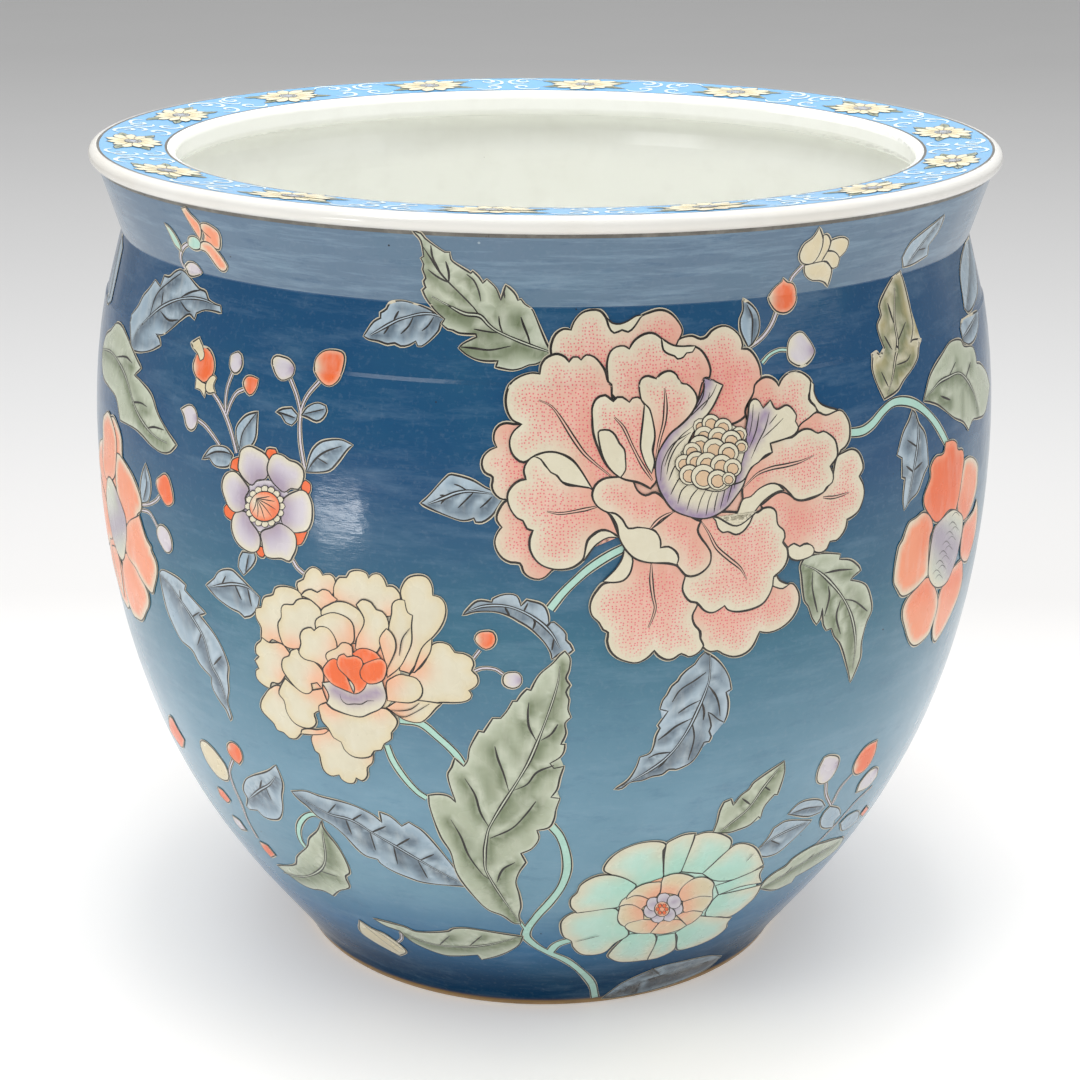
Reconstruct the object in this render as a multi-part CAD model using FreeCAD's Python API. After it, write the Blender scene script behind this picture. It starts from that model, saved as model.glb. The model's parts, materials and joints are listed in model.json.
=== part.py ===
"""Round porcelain jardiniere of the fish-bowl form, 460 mm across the rim.

The clay body is built as a potter builds one this large: a foot ring, a base slab and six thrown
rings, luted together with slip and fired as one.  Its finish is a set of thin coats on that clay:
a pale lining glaze, a white lip, a blue ground enamel, a pale blue band on the rim and dark lines
between them.  Millimetres, +Z up, origin on the table at the middle of the foot.
"""

import FreeCAD, Part

import math
import os

# ---- driving dimensions -------------------------------------------------------------------
rim_radius = 230.0          # to the outside of the white lip
rim_height = 426.7          # top of the lip above the table
rim_width = 43.0            # from the outside of the lip to the mouth
rim_thickness = 14.5
rim_fall = 4.8              # the rim's top falls towards the mouth, in degrees
rim_fillet = 10.0           # hollow round between the rim's underside and the neck
lip_radius = 4.0            # half-round lip
mouth_round = 4.5           # rounded edges of the mouth, above and below

neck_height = 34.0          # lip down to the crease
neck_flare = 10.6           # how far the neck leans out over that height
shoulder_height = 30.5      # crease down to the seam
shoulder_flare = 8.4        # how far the shoulder widens over that height
seam_step = 1.0             # the belly stands this far proud of the shoulder at the seam
seam_bevel = 1.6            # height of that step

belly_swell = 7.9           # how far the belly widens below the seam
belly_drop = 75.6           # seam down to the widest place
seam_lean = 12.0            # slope of the wall at the seam, in degrees from upright
seam_tension = 0.225        # how long the wall keeps that slope, as a part of the drop
shoulder_tension = 0.463    # how long it stays upright above the widest place
belly_tension = 0.65        # how long it stays upright below it, as a part of its height
foot_tension = 0.127        # how long it keeps the slope that it has at the table
foot_flare = 66.5           # that slope, in degrees from the table
foot_radius = 131.0
foot_width = 14.0           # of the ring that touches the table
foot_depth = 9.0            # recess under the base
foot_chamfer = 0.8

wall = 9.0                  # finished wall, coats included
crease_round = 20.0         # inside, the wall turns this gently at the crease
base_thickness = 12.0
floor_corner = 26.0         # height of the round between floor and wall

coat = 0.6                  # glaze or enamel on the clay
slip = 0.8                  # luting slip between two sections
lower_joint_height = 100.0  # joints between the three rings of the body
upper_joint_height = 220.0
rim_joint_gap = 2.0         # joint between neck and rim, this far under the rim's lowest edge

foot_band = 2.6             # gilt band above the table
line_width = 1.3            # dark lines on the rim
neck_line_width = 1.8       # dark line under the lip

# ---- places that follow from them ---------------------------------------------------------
fall = math.radians(rim_fall)
rim_up = (-math.sin(fall), math.cos(fall))          # out of the rim's top face
rim_in = (-math.cos(fall), -math.sin(fall))         # along it, towards the mouth
lip_centre = (rim_radius - lip_radius, rim_height - lip_radius)
lip_under = rim_height - 2 * lip_radius
mouth_radius = rim_radius - rim_width
mouth_edge = min(mouth_round, 0.4 * rim_thickness)
crease_height = lip_under - neck_height
crease_radius = lip_centre[0] - neck_flare
shoulder_foot = (crease_radius + shoulder_flare, crease_height - shoulder_height)
seam_radius = shoulder_foot[0] + seam_step
seam_height = shoulder_foot[1] - seam_bevel
belly_radius = seam_radius + belly_swell
belly_height = seam_height - belly_drop
floor_height = foot_depth + base_thickness

foot_slope = (math.cos(math.radians(foot_flare)), math.sin(math.radians(foot_flare)))
seam_slope = (math.sin(math.radians(seam_lean)), -math.cos(math.radians(seam_lean)))
LOWER_CURVE = [(foot_radius, 0.0),
               (foot_radius + foot_tension * belly_height * foot_slope[0],
                foot_tension * belly_height * foot_slope[1]),
               (belly_radius, belly_height * (1 - belly_tension)),
               (belly_radius, belly_height)]
UPPER_CURVE = [(belly_radius, belly_height),
               (belly_radius, belly_height + shoulder_tension * belly_drop),
               (seam_radius + seam_tension * belly_drop * seam_slope[0],
                seam_height + seam_tension * belly_drop * seam_slope[1]),
               (seam_radius, seam_height)]

FAR = 3 * (rim_radius + rim_height)     # beyond the whole object
SAMPLES = 12                            # places where an offset of the body's curve is worked out


# ---- points of the outline, as (radius, height) --------------------------------------------
def on_bezier(poles, t):
    """Point and outward normal of a cubic curve that climbs."""
    weights = [(1 - t) ** 3, 3 * t * (1 - t) ** 2, 3 * t * t * (1 - t), t ** 3]
    slopes = [(1 - t) ** 2, 2 * t * (1 - t), t * t]
    point = [sum(w * p[axis] for w, p in zip(weights, poles)) for axis in (0, 1)]
    along = [sum(s * (b[axis] - a[axis]) for s, a, b in zip(slopes, poles, poles[1:])) for axis in (0, 1)]
    along = unit(along)
    return point, (along[1], -along[0])


def body_point(u, inset):
    """Point on the body at u from 0 (foot) over 1 (belly) to 2 (seam), that far inside its face."""
    poles, t = (LOWER_CURVE, u) if u <= 1 else (UPPER_CURVE, u - 1)
    point, normal = on_bezier(poles, t)
    return (point[0] - inset * normal[0], point[1] - inset * normal[1])


def body_at_height(height, inset):
    """The u at which the body's inset curve reaches that height."""
    low, high = 0.0, 2.0
    for _ in range(50):
        middle = (low + high) / 2
        if body_point(middle, inset)[1] < height:
            low = middle
        else:
            high = middle
    return low


def meet(point, along, other, other_along):
    """Where two lines cross."""
    det = along[0] * other_along[1] - along[1] * other_along[0]
    gap = (other[0] - point[0], other[1] - point[1])
    s = (gap[0] * other_along[1] - gap[1] * other_along[0]) / det
    return (point[0] + s * along[0], point[1] + s * along[1])


def unit(along):
    length = math.hypot(*along)
    return (along[0] / length, along[1] / length)


def line_inset(start, end, inset):
    """A point and the direction of the line that runs that far inside start-end."""
    along = unit((end[0] - start[0], end[1] - start[1]))
    return (start[0] - inset * along[1], start[1] + inset * along[0]), along


CREASE = (crease_radius, crease_height)
NECK_TOP = (lip_centre[0], lip_under)


def crease_point(inset):
    shoulder = line_inset(shoulder_foot, CREASE, inset)
    neck = line_inset(CREASE, NECK_TOP, inset)
    return meet(*shoulder, *neck)


def under_lip(inset):
    """Where the neck runs into the lip's round."""
    (r, z), along = line_inset(CREASE, NECK_TOP, inset)
    offset = (r - lip_centre[0], z - lip_centre[1])
    b = offset[0] * along[0] + offset[1] * along[1]
    c = offset[0] ** 2 + offset[1] ** 2 - (lip_radius - inset) ** 2
    s = -b - math.sqrt(b * b - c) if b * b > c else -b
    return (r + s * along[0], z + s * along[1])


def shift(point, along, distance):
    return (point[0] + distance * along[0], point[1] + distance * along[1])


mouth_centre = shift(lip_centre, rim_up, lip_radius - mouth_edge)
mouth_centre = shift(mouth_centre, rim_in,
                     (mouth_centre[0] - mouth_radius - mouth_edge) / math.cos(fall))
rim_under = shift(lip_centre, rim_up, lip_radius - rim_thickness)
land_foot = meet((mouth_radius, 0), (0, 1), rim_under, rim_in)[1]
land_foot += mouth_edge * math.tan(math.radians(90 + rim_fall) / 2)


# ---- edges in the XZ plane -----------------------------------------------------------------
def vec(point):
    return FreeCAD.Vector(point[0], 0, point[1])


def straight(start, end):
    return Part.LineSegment(vec(start), vec(end)).toShape()


def arc(start, middle, end):
    return Part.Arc(vec(start), vec(middle), vec(end)).toShape()


def smooth(points):
    curve = Part.BSplineCurve()
    curve.interpolate([vec(p) for p in points])
    return curve.toShape()


def body_edge(inset, bottom):
    """The body's curve from a height up to the seam."""
    start = body_at_height(bottom, inset)
    steps = [start + (2 - start) * i / (2 * SAMPLES) for i in range(2 * SAMPLES + 1)]
    return smooth([body_point(u, inset) for u in steps])


def neck_and_lip(inset):
    """Edges from the seam to the start of the mouth's round."""
    seam = body_point(2, inset)
    foot = line_inset(shoulder_foot, CREASE, inset)[0]
    crease = crease_point(inset)
    join = under_lip(inset)
    radius = lip_radius - inset
    top = shift(lip_centre, rim_up, radius)
    rim_end = shift(mouth_centre, rim_up, mouth_edge - inset)
    return [straight(seam, foot), straight(foot, crease), straight(crease, join),
            arc(join, shift(lip_centre, (1, 0), radius), top), straight(top, rim_end)]


def rounded(before, corner, after, radius):
    """The round of a corner, limited by the room: where it starts, its middle, where it ends."""
    arriving = (corner[0] - before[0], corner[1] - before[1])
    leaving = (after[0] - corner[0], after[1] - corner[1])
    room = min(math.hypot(*arriving), math.hypot(*leaving)) / 2.01
    turn = math.atan2(leaving[1], leaving[0]) - math.atan2(arriving[1], arriving[0])
    half = abs(math.remainder(turn, 2 * math.pi)) / 2
    radius = min(radius, room / math.tan(half))
    back = radius * math.tan(half)
    arriving = unit(arriving)
    leaving = unit(leaving)
    inward = unit((leaving[0] - arriving[0], leaving[1] - arriving[1]))
    middle = shift(corner, inward, radius / math.cos(half) - radius)
    return shift(corner, arriving, -back), middle, shift(corner, leaving, back)


def inner_edges(inset):
    """Edges from the start of the mouth's round, down the inside, to the middle of the floor."""
    start = shift(mouth_centre, rim_up, mouth_edge - inset)
    half_way = math.radians(45) + fall / 2
    middle = shift(mouth_centre, (-math.sin(half_way), math.cos(half_way)), mouth_edge - inset)
    land_top = (mouth_radius + inset, mouth_centre[1])

    depth = wall - inset
    under = shift(rim_under, rim_up, inset)
    neck = line_inset(CREASE, NECK_TOP, depth)
    shoulder = line_inset(shoulder_foot, CREASE, depth)
    seam = body_point(2, depth)
    points = [land_top, meet(land_top, (0, 1), under, rim_in), meet(under, rim_in, *neck),
              meet(*neck, *shoulder), seam]
    rounds = [mouth_edge - inset, rim_fillet + inset, crease_round - inset]
    edges = [arc(start, middle, land_top)]
    last = land_top
    for before, corner, after, radius in zip(points, points[1:], points[2:], rounds):
        first, middle, end = rounded(before, corner, after, radius)
        edges += [straight(last, first), arc(first, middle, end)]
        last = end
    edges.append(straight(last, seam))

    low = body_at_height(floor_height + floor_corner, depth)
    steps = [2 + (low - 2) * i / SAMPLES for i in range(SAMPLES + 1)]
    side = [body_point(u, depth) for u in steps]
    edges.append(smooth(side))
    slope = edges[-1].tangentAt(edges[-1].LastParameter)
    floor = floor_height - inset
    crossing = meet(side[-1], (slope.x, slope.z), (0, floor), (1, 0))
    reach = math.hypot(side[-1][0] - crossing[0], side[-1][1] - crossing[1])
    floor_start = (crossing[0] - reach, floor)
    corner = Part.BezierCurve()
    corner.setPoles([vec(side[-1]), vec(crossing), vec(floor_start)])
    return edges + [corner.toShape(), straight(floor_start, (0, floor))]


# ---- the cross-section, as flat faces beside the axis ---------------------------------------
def end_of(edge, first):
    point = edge.valueAt(edge.FirstParameter if first else edge.LastParameter)
    return (point.x, point.z)


def filled(edges):
    return Part.Face(Part.Wire(Part.__sortEdges__(edges)))


def block(inner, outer, low, high):
    """Everything between two radii and two heights."""
    corners = [(inner, low), (outer, low), (outer, high), (inner, high), (inner, low)]
    return Part.Face(Part.makePolygon([vec(c) for c in corners]))


def between(low, high):
    return block(-FAR, FAR, low, high)


def clay():
    """All the clay, foot and wall and rim, under the coats."""
    outside = outside_edges(coat)
    inside = inner_edges(coat)
    start = end_of(outside[0], True)
    tip = (start[0] - foot_chamfer, 0)
    ring = (start[0] - foot_width, 0)
    recess = (ring[0], foot_depth)
    under = [straight(start, tip), straight(tip, ring), straight(ring, recess),
             straight(recess, (0, foot_depth)), straight((0, foot_depth), end_of(inside[-1], False))]
    return filled(outside + inside + under)


def coat_of(edges_at):
    """The coat over a run of edges."""
    face = edges_at(0)
    back = edges_at(coat)
    ends = [straight(end_of(face[i], i == 0), end_of(back[i], i == 0)) for i in (0, -1)]
    return filled(face + back + ends)


def outside_edges(inset):
    """From the foot to the mouth's round."""
    return [body_edge(inset, foot_chamfer)] + neck_and_lip(inset)


# ---- solids ---------------------------------------------------------------------------------
def write(name, faces):
    """One STEP file for a node: its faces, turned round the axis."""
    solids = [face.revolve(FreeCAD.Vector(0, 0, 0), FreeCAD.Vector(0, 0, 1), 360) for face in faces]
    made = solids[0] if len(solids) == 1 else Part.makeCompound(solids)
    made.exportStep(os.path.join("parts", name + ".step"))
    print(f"{name}: {len(solids)} solid(s), {made.Volume / 1000:.1f} cm3, valid {made.isValid()}")


def write_clay():
    """The clay sections, with slip in the joints between them."""
    joints = {
        "foot_ring": foot_depth - slip,
        "base_slab": floor_height - coat,
        "lower_wall": lower_joint_height,
        "middle_wall": upper_joint_height,
        "upper_wall": seam_height - slip,
        "shoulder_wall": crease_height - slip / 2,
        "neck_wall": land_foot - mouth_edge - rim_joint_gap,
    }
    body = clay()
    beds = []
    low = -FAR
    for name, joint in joints.items():
        write(name, body.common(between(low, joint)).Faces)
        low = joint + slip
        beds += body.common(between(joint, low)).Faces
    write("rim_flange", body.common(between(low, FAR)).Faces)
    write("luting_slip", beds)


def write_coats():
    """The glazes and enamels, cut from two coats; the shoulder's laps just over the crease."""
    outside = coat_of(outside_edges)
    join = under_lip(0)[1]
    line_foot = join - neck_line_width
    lap = crease_height + coat
    lip_inner = shift(lip_centre, rim_up, lip_radius)[0]
    rim_end = shift(mouth_centre, rim_up, mouth_edge)[0]
    top = outside.common(block(0, lip_inner, lip_centre[1], FAR))
    coats = {
        "foot_gilding": outside.common(between(-FAR, foot_band)),
        "body_ground_enamel": outside.common(between(foot_band, seam_height)),
        "shoulder_ground_enamel": outside.common(between(seam_height, lap)),
        "neck_ground_enamel": outside.common(between(lap, line_foot)),
        "neck_line": outside.common(between(line_foot, join)),
        "lip_glaze": outside.common(between(join, FAR)).cut(top),
        "rim_outer_line": top.common(block(lip_inner - line_width, FAR, 0, FAR)),
        "rim_band_enamel": top.common(block(rim_end + line_width, lip_inner - line_width, 0, FAR)),
        "mouth_line": top.common(block(0, rim_end + line_width, 0, FAR)),
        "lining_glaze": coat_of(inner_edges),
    }
    for name, face in coats.items():
        write(name, face.Faces)


os.makedirs("parts", exist_ok=True)
write_clay()
write_coats()
print(f"crease {crease_radius:.1f} at {crease_height:.1f}, seam {seam_radius:.1f} at {seam_height:.1f}, "
      f"mouth land from {land_foot:.1f} to {mouth_centre[1]:.1f}")
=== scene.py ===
import math

import bmesh
import bpy
from bpy.props import FloatProperty, FloatVectorProperty, PointerProperty
from mathutils import Matrix, Vector
from mathutils.bvhtree import BVHTree
from mathutils.kdtree import KDTree
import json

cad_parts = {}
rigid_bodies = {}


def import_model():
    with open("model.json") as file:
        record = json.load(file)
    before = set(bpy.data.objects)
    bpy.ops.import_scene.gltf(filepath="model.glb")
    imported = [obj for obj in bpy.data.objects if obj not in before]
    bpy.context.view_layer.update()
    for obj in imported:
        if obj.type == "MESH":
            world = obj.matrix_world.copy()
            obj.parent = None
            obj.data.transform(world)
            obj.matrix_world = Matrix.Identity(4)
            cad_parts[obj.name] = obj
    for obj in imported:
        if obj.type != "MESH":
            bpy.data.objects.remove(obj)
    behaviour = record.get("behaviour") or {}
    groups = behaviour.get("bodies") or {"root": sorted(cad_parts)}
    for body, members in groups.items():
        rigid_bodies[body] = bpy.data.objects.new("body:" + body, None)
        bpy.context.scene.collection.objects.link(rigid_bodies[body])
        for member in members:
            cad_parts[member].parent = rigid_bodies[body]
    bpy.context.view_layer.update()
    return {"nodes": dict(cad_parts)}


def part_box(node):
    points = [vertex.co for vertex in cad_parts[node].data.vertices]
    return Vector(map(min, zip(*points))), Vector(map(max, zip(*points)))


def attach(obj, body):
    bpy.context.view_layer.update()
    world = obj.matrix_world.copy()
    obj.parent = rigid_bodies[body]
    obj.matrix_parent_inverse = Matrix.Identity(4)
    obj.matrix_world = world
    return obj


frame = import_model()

bl_info = {
    "name": "Painted Jardiniere",
    "version": (1, 0, 0),
    "blender": (4, 5, 0),
    "location": "3D View > Sidebar > Jardiniere",
    "description": "Glazes, overglaze flower painting and studio for a porcelain jardiniere",
    "category": "Object",
}

NODES = frame["nodes"]
MM = 0.001

# ---- the view of the photograph, in its own pixels --------------------------------------------
IMAGE_SIZE = 1080
VIEW_AXIS = (543.36, 524.94)        # where the lens looks straight ahead
FOCAL_PIXELS = 2320.76
SENSOR = 36.0
BOWL_MIDDLE = (543, 600)
SEARCH_STEPS = 30                   # a point drawn just off the bowl moves in by up to this many pixels
EYE = Vector((0.0, -1.18807, 0.60493))
LOOK_DOWN = math.radians(18.088)
ROLL = math.radians(0.347)

COAT = 0.6 * MM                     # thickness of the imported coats
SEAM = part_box("body_ground_enamel")[1].z
SHOULDER_FOOT = 354.2 * MM          # where the seam's small step ends and the shoulder begins
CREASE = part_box("shoulder_ground_enamel")[1].z - COAT
PAINTED_NODES = ("body_ground_enamel", "shoulder_ground_enamel", "neck_ground_enamel", "neck_line")


def colour(red, green, blue):
    """A colour as seen, 0 to 255, to the linear values that Blender works in."""
    def linear(value):
        value /= 255
        return value / 12.92 if value <= 0.04045 else ((value + 0.055) / 1.055) ** 2.4
    return (linear(red), linear(green), linear(blue))


def colour_prop(name, what, *rgb):
    return FloatVectorProperty(name=name, description=what, subtype="COLOR", size=3, min=0, max=1,
                               default=colour(*rgb))


class GlazeColours(bpy.types.PropertyGroup):
    """Colours of the glazes and ground enamels."""
    deep_blue: colour_prop("Deep blue", "Ground enamel over the belly", 0, 70, 112)
    # mid blue steps from the deep blue towards the paler lower body, as part of a painted reflection of the
    # white floor; it also tints the enamel's random clouds
    mid_blue: colour_prop("Mid blue", "Ground enamel below the belly", 46, 104, 128)
    # this pale blue is a painted reflection of the white floor on the lower body, not the enamel's own tone
    floor_reflection_blue: colour_prop("Pale blue", "Ground enamel low on the body", 112, 151, 172)
    # this foot blue is painted shade at the foot, where the body reflects the floor's contact shadow
    foot_shade_blue: colour_prop("Foot blue", "Ground enamel at the foot", 12, 60, 94)
    neck_blue: colour_prop("Neck blue", "Ground enamel on the neck", 96, 121, 144)
    rim_blue: colour_prop("Rim blue", "Enamel band on the rim", 112, 178, 228)
    lining: colour_prop("Lining", "Glaze inside", 252, 253, 248)
    lip_white: colour_prop("Lip white", "Glaze on the lip", 230, 229, 224)
    dark_line: colour_prop("Dark line", "Lines on the rim and neck", 92, 90, 84)
    foot_gold: colour_prop("Foot gold", "Line round the foot", 170, 135, 85)
    bisque: colour_prop("Bisque", "Bare clay of the foot ring", 214, 203, 186)


class PaintColours(bpy.types.PropertyGroup):
    """Colours of the overglaze painting."""
    ink: colour_prop("Ink", "Drawn lines", 22, 18, 15)
    halo: colour_prop("Halo", "Bare edge round a motif", 205, 198, 176)
    cream: colour_prop("Cream", "Petal edges", 220, 214, 190)
    warm_cream: colour_prop("Warm cream", "Petals of the cream peony", 220, 207, 172)
    blush: colour_prop("Blush", "Warm wash in petals", 228, 184, 165)
    rose: colour_prop("Rose", "Deeper wash near the pink flower's heart", 228, 152, 134)
    stipple: colour_prop("Stipple", "Dots in the pink petals", 222, 86, 108)
    pod: colour_prop("Pod", "Scales of the seed pod", 216, 186, 152)
    peach: colour_prop("Peach", "Pale orange petals", 240, 172, 138)
    coral: colour_prop("Coral", "Poppies and the neck flower", 242, 150, 110)
    orange: colour_prop("Orange", "Flame orange", 236, 104, 44)
    lilac: colour_prop("Lilac", "Violet wash", 146, 124, 162)
    pale_lilac: colour_prop("Pale lilac", "Light violet petals", 208, 202, 210)
    mint: colour_prop("Mint", "Green-white stems", 172, 214, 200)
    pale_mint: colour_prop("Pale mint", "Body of the green flower's petals", 192, 226, 212)
    deep_mint: colour_prop("Deep mint", "Green flower near its heart", 166, 220, 204)
    sage: colour_prop("Sage", "Green leaves", 176, 185, 162)
    pale_sage: colour_prop("Pale sage", "Light part of green leaves", 200, 207, 188)
    dark_sage: colour_prop("Dark sage", "Shaded part of green leaves", 98, 112, 78)
    slate: colour_prop("Slate", "Blue-grey leaves", 152, 174, 190)
    pale_slate: colour_prop("Pale slate", "Light part of blue-grey leaves", 180, 198, 210)
    dark_slate: colour_prop("Dark slate", "Shaded part of blue-grey leaves", 76, 94, 110)
    olive: colour_prop("Olive", "Yellow-green leaf", 176, 166, 122)
    yellow_cream: colour_prop("Yellow cream", "Petals on the rim", 240, 232, 200)
    rim_petal: colour_prop("Rim petal", "Base of the petals on the rim", 226, 200, 132)
    rim_centre: colour_prop("Rim centre", "Flower centres on the rim", 176, 184, 198)
    scroll_white: colour_prop("Scroll white", "Scrolls on the rim", 222, 240, 244)


class PaintSizes(bpy.types.PropertyGroup):
    """Sizes of the painter's strokes."""
    ink_width: FloatProperty(name="Ink width", description="Width of a drawn outline",
                             default=0.84 * MM, min=0, unit="LENGTH")
    halo_width: FloatProperty(name="Halo width", description="Bare edge showing beyond the ink",
                              default=0.36 * MM, min=0, unit="LENGTH")
    lift: FloatProperty(name="Lift", description="Height of the lowest paint above the ground enamel",
                        default=0.14 * MM, min=0, unit="LENGTH")
    layer: FloatProperty(name="Layer", description="Height from one layer of paint to the next",
                         default=0.02 * MM, min=0, unit="LENGTH")
    cell: FloatProperty(name="Cell", description="Size of the painted surface's mesh cells",
                        default=3.5 * MM, min=0.5 * MM, unit="LENGTH")
    stroke_step: FloatProperty(name="Stroke step", description="Spacing of the points along a stroke",
                               default=1.6 * MM, min=0.2 * MM, unit="LENGTH")


class StudioSettings(bpy.types.PropertyGroup):
    """Light and backdrop."""
    floor_size: FloatProperty(name="Floor size", description="Width of the floor",
                              default=16.0, min=1, unit="LENGTH")
    world_strength: FloatProperty(name="Ambient light", description="Strength of the even light",
                                  default=0.60, min=0)
    key_power: FloatProperty(name="Key light", description="Power of the main softbox", default=12.0,
                             min=0, unit="POWER")
    fill_power: FloatProperty(name="Fill light", description="Power of the fill softbox", default=7.0,
                              min=0, unit="POWER")
    top_power: FloatProperty(name="Top light", description="Power of the overhead softbox", default=22.0,
                             min=0, unit="POWER")
    mouth_power: FloatProperty(name="Mouth light", description="Power of the softbox over the mouth",
                               default=8.5, min=0, unit="POWER")
    glint_power: FloatProperty(name="Glint light", description="Power of the low lamp in the glaze",
                               default=0.8, min=0, unit="POWER")


def trace(text):
    """Pixels of the photograph: the first one, then the step right and down to each next one."""
    steps = [tuple(float(value) for value in pair.split(",")) for pair in text.split()]
    return [tuple(sum(step[axis] for step in steps[:i + 1]) for axis in (0, 1)) for i in range(len(steps))]


# ---- the bowl's outside as a flat chart ---------------------------------------------------------
class Skin:
    """Outer profile of the painted enamels, and places on it as (distance round, height along)."""

    PROFILE_REACH = 3 * MM          # the profile's slope is taken over this much on each side

    def __init__(self):
        rings = {}
        vertices, triangles = [], []
        for name in PAINTED_NODES:
            mesh = NODES[name].data
            for face in mesh.polygons:
                centre, normal = face.center, face.normal
                if normal.x * centre.x + normal.y * centre.y < 0.3 * math.hypot(centre.x, centre.y):
                    continue
                first = len(vertices)
                for index in face.vertices:
                    place = mesh.vertices[index].co
                    vertices.append(place.copy())
                    rings[round(place.z, 5)] = max(rings.get(round(place.z, 5), 0),
                                                   math.hypot(place.x, place.y))
                triangles.append(tuple(range(first, len(vertices))))
        self.tree = BVHTree.FromPolygons(vertices, triangles)
        self.heights = sorted(rings)
        self.radii = [rings[z] for z in self.heights]
        self.runs = [0.0]
        for i in range(1, len(self.heights)):
            self.runs.append(self.runs[-1] + math.hypot(self.heights[i] - self.heights[i - 1],
                                                        self.radii[i] - self.radii[i - 1]))
        self.corners = [self.run_at(z) for z in (SEAM, SHOULDER_FOOT, CREASE)]

    def find(self, values, value):
        low, high = 0, len(values) - 2
        while low < high:
            middle = (low + high + 1) // 2
            if values[middle] <= value:
                low = middle
            else:
                high = middle - 1
        return low

    def run_at(self, z):
        i = self.find(self.heights, z)
        part = (z - self.heights[i]) / (self.heights[i + 1] - self.heights[i])
        return self.runs[i] + part * (self.runs[i + 1] - self.runs[i])

    def across(self, run):
        """Radius, height and the profile's outward normal at a run."""
        i = self.find(self.runs, run)
        part = (run - self.runs[i]) / (self.runs[i + 1] - self.runs[i])
        r = self.radii[i] + part * (self.radii[i + 1] - self.radii[i])
        z = self.heights[i] + part * (self.heights[i + 1] - self.heights[i])
        low, high = max(0.0, run - self.PROFILE_REACH), min(self.runs[-1], run + self.PROFILE_REACH)
        for corner in self.corners:
            if low < corner <= run:
                low = corner
            elif run < corner < high:
                high = corner
        a, b = self.find(self.runs, low), self.find(self.runs, high)
        ends = []
        for j, place in ((a, low), (b, high)):
            part = (place - self.runs[j]) / (self.runs[j + 1] - self.runs[j])
            ends.append((self.radii[j] + part * (self.radii[j + 1] - self.radii[j]),
                         self.heights[j] + part * (self.heights[j + 1] - self.heights[j])))
        along = Vector((ends[1][0] - ends[0][0], ends[1][1] - ends[0][1])).normalized()
        return r, z, (along.y, -along.x)

    def hit(self, pixel):
        """The place on the skin that shows at a pixel of the photograph, as (angle, run)."""
        inwards = unit((BOWL_MIDDLE[0] - pixel[0], BOWL_MIDDLE[1] - pixel[1]))
        for step in range(SEARCH_STEPS):
            x = pixel[0] + step * inwards[0] - IMAGE_SIZE / 2
            y = pixel[1] + step * inwards[1] - IMAGE_SIZE / 2
            level_x = IMAGE_SIZE / 2 + x * math.cos(ROLL) + y * math.sin(ROLL)
            level_y = IMAGE_SIZE / 2 - x * math.sin(ROLL) + y * math.cos(ROLL)
            right = (level_x - VIEW_AXIS[0]) / FOCAL_PIXELS
            up = (VIEW_AXIS[1] - level_y) / FOCAL_PIXELS
            along = Vector((right, math.cos(LOOK_DOWN) + up * math.sin(LOOK_DOWN),
                            up * math.cos(LOOK_DOWN) - math.sin(LOOK_DOWN))).normalized()
            found = self.tree.ray_cast(EYE, along)[0]
            if found is not None and found.x * along.x + found.y * along.y < 0:
                return math.atan2(found.x, -found.y), self.run_at(found.z)
        raise ValueError(f"pixel {pixel} isn't on the bowl")


SKIN = Skin()


def wall_place(angle, run, lift):
    """A point that far outside the wall, and the wall's outward normal there."""
    r, z, (nr, nz) = SKIN.across(run)
    r += lift * nr
    return (Vector((r * math.sin(angle), -r * math.cos(angle), z + lift * nz)),
            Vector((nr * math.sin(angle), -nr * math.cos(angle), nz)))


def unit(vector):
    length = math.hypot(*vector)
    return (vector[0] / length, vector[1] / length) if length else (1.0, 0.0)


def smooth_line(points, step, closed=False, corner=68):
    """Points about a step apart on a smooth curve through these, which keeps their sharp corners."""
    count = len(points)
    spans = count if closed else count - 1
    ways = []
    lengths = []
    for i in range(spans):
        start, end = points[i], points[(i + 1) % count]
        ways.append(unit((end[0] - start[0], end[1] - start[1])))
        lengths.append(math.dist(start, end))

    def leaving(i, own):
        """Unit tangent at point i for the span that has the direction own."""
        if not closed and i in (0, count - 1):
            return own
        before, after = ways[(i - 1) % spans], ways[i % spans]
        if before[0] * after[0] + before[1] * after[1] < math.cos(math.radians(corner)):
            return own
        one, other = lengths[(i - 1) % spans], lengths[i % spans]
        return unit((before[0] * one + after[0] * other, before[1] * one + after[1] * other))

    line = []
    for i in range(spans):
        start, end = points[i], points[(i + 1) % count]
        length = lengths[i]
        first, last = leaving(i, ways[i]), leaving((i + 1) % count, ways[i])
        steps = max(1, round(length / step))
        for k in range(steps):
            t = k / steps
            a, b = 2 * t ** 3 - 3 * t * t + 1, t ** 3 - 2 * t * t + t
            c, d = 3 * t * t - 2 * t ** 3, t ** 3 - t * t
            line.append(tuple(a * start[j] + b * length * first[j] + c * end[j] + d * length * last[j]
                              for j in (0, 1)))
    if not closed:
        line.append(tuple(points[-1]))
    return line


def blend_colours(one, other, part):
    part = min(1.0, max(0.0, part))
    return tuple(a + part * (b - a) for a, b in zip(one, other))


def ease(value, low, high):
    t = min(1.0, max(0.0, (value - low) / (high - low)))
    return t * t * (3 - 2 * t)


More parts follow.
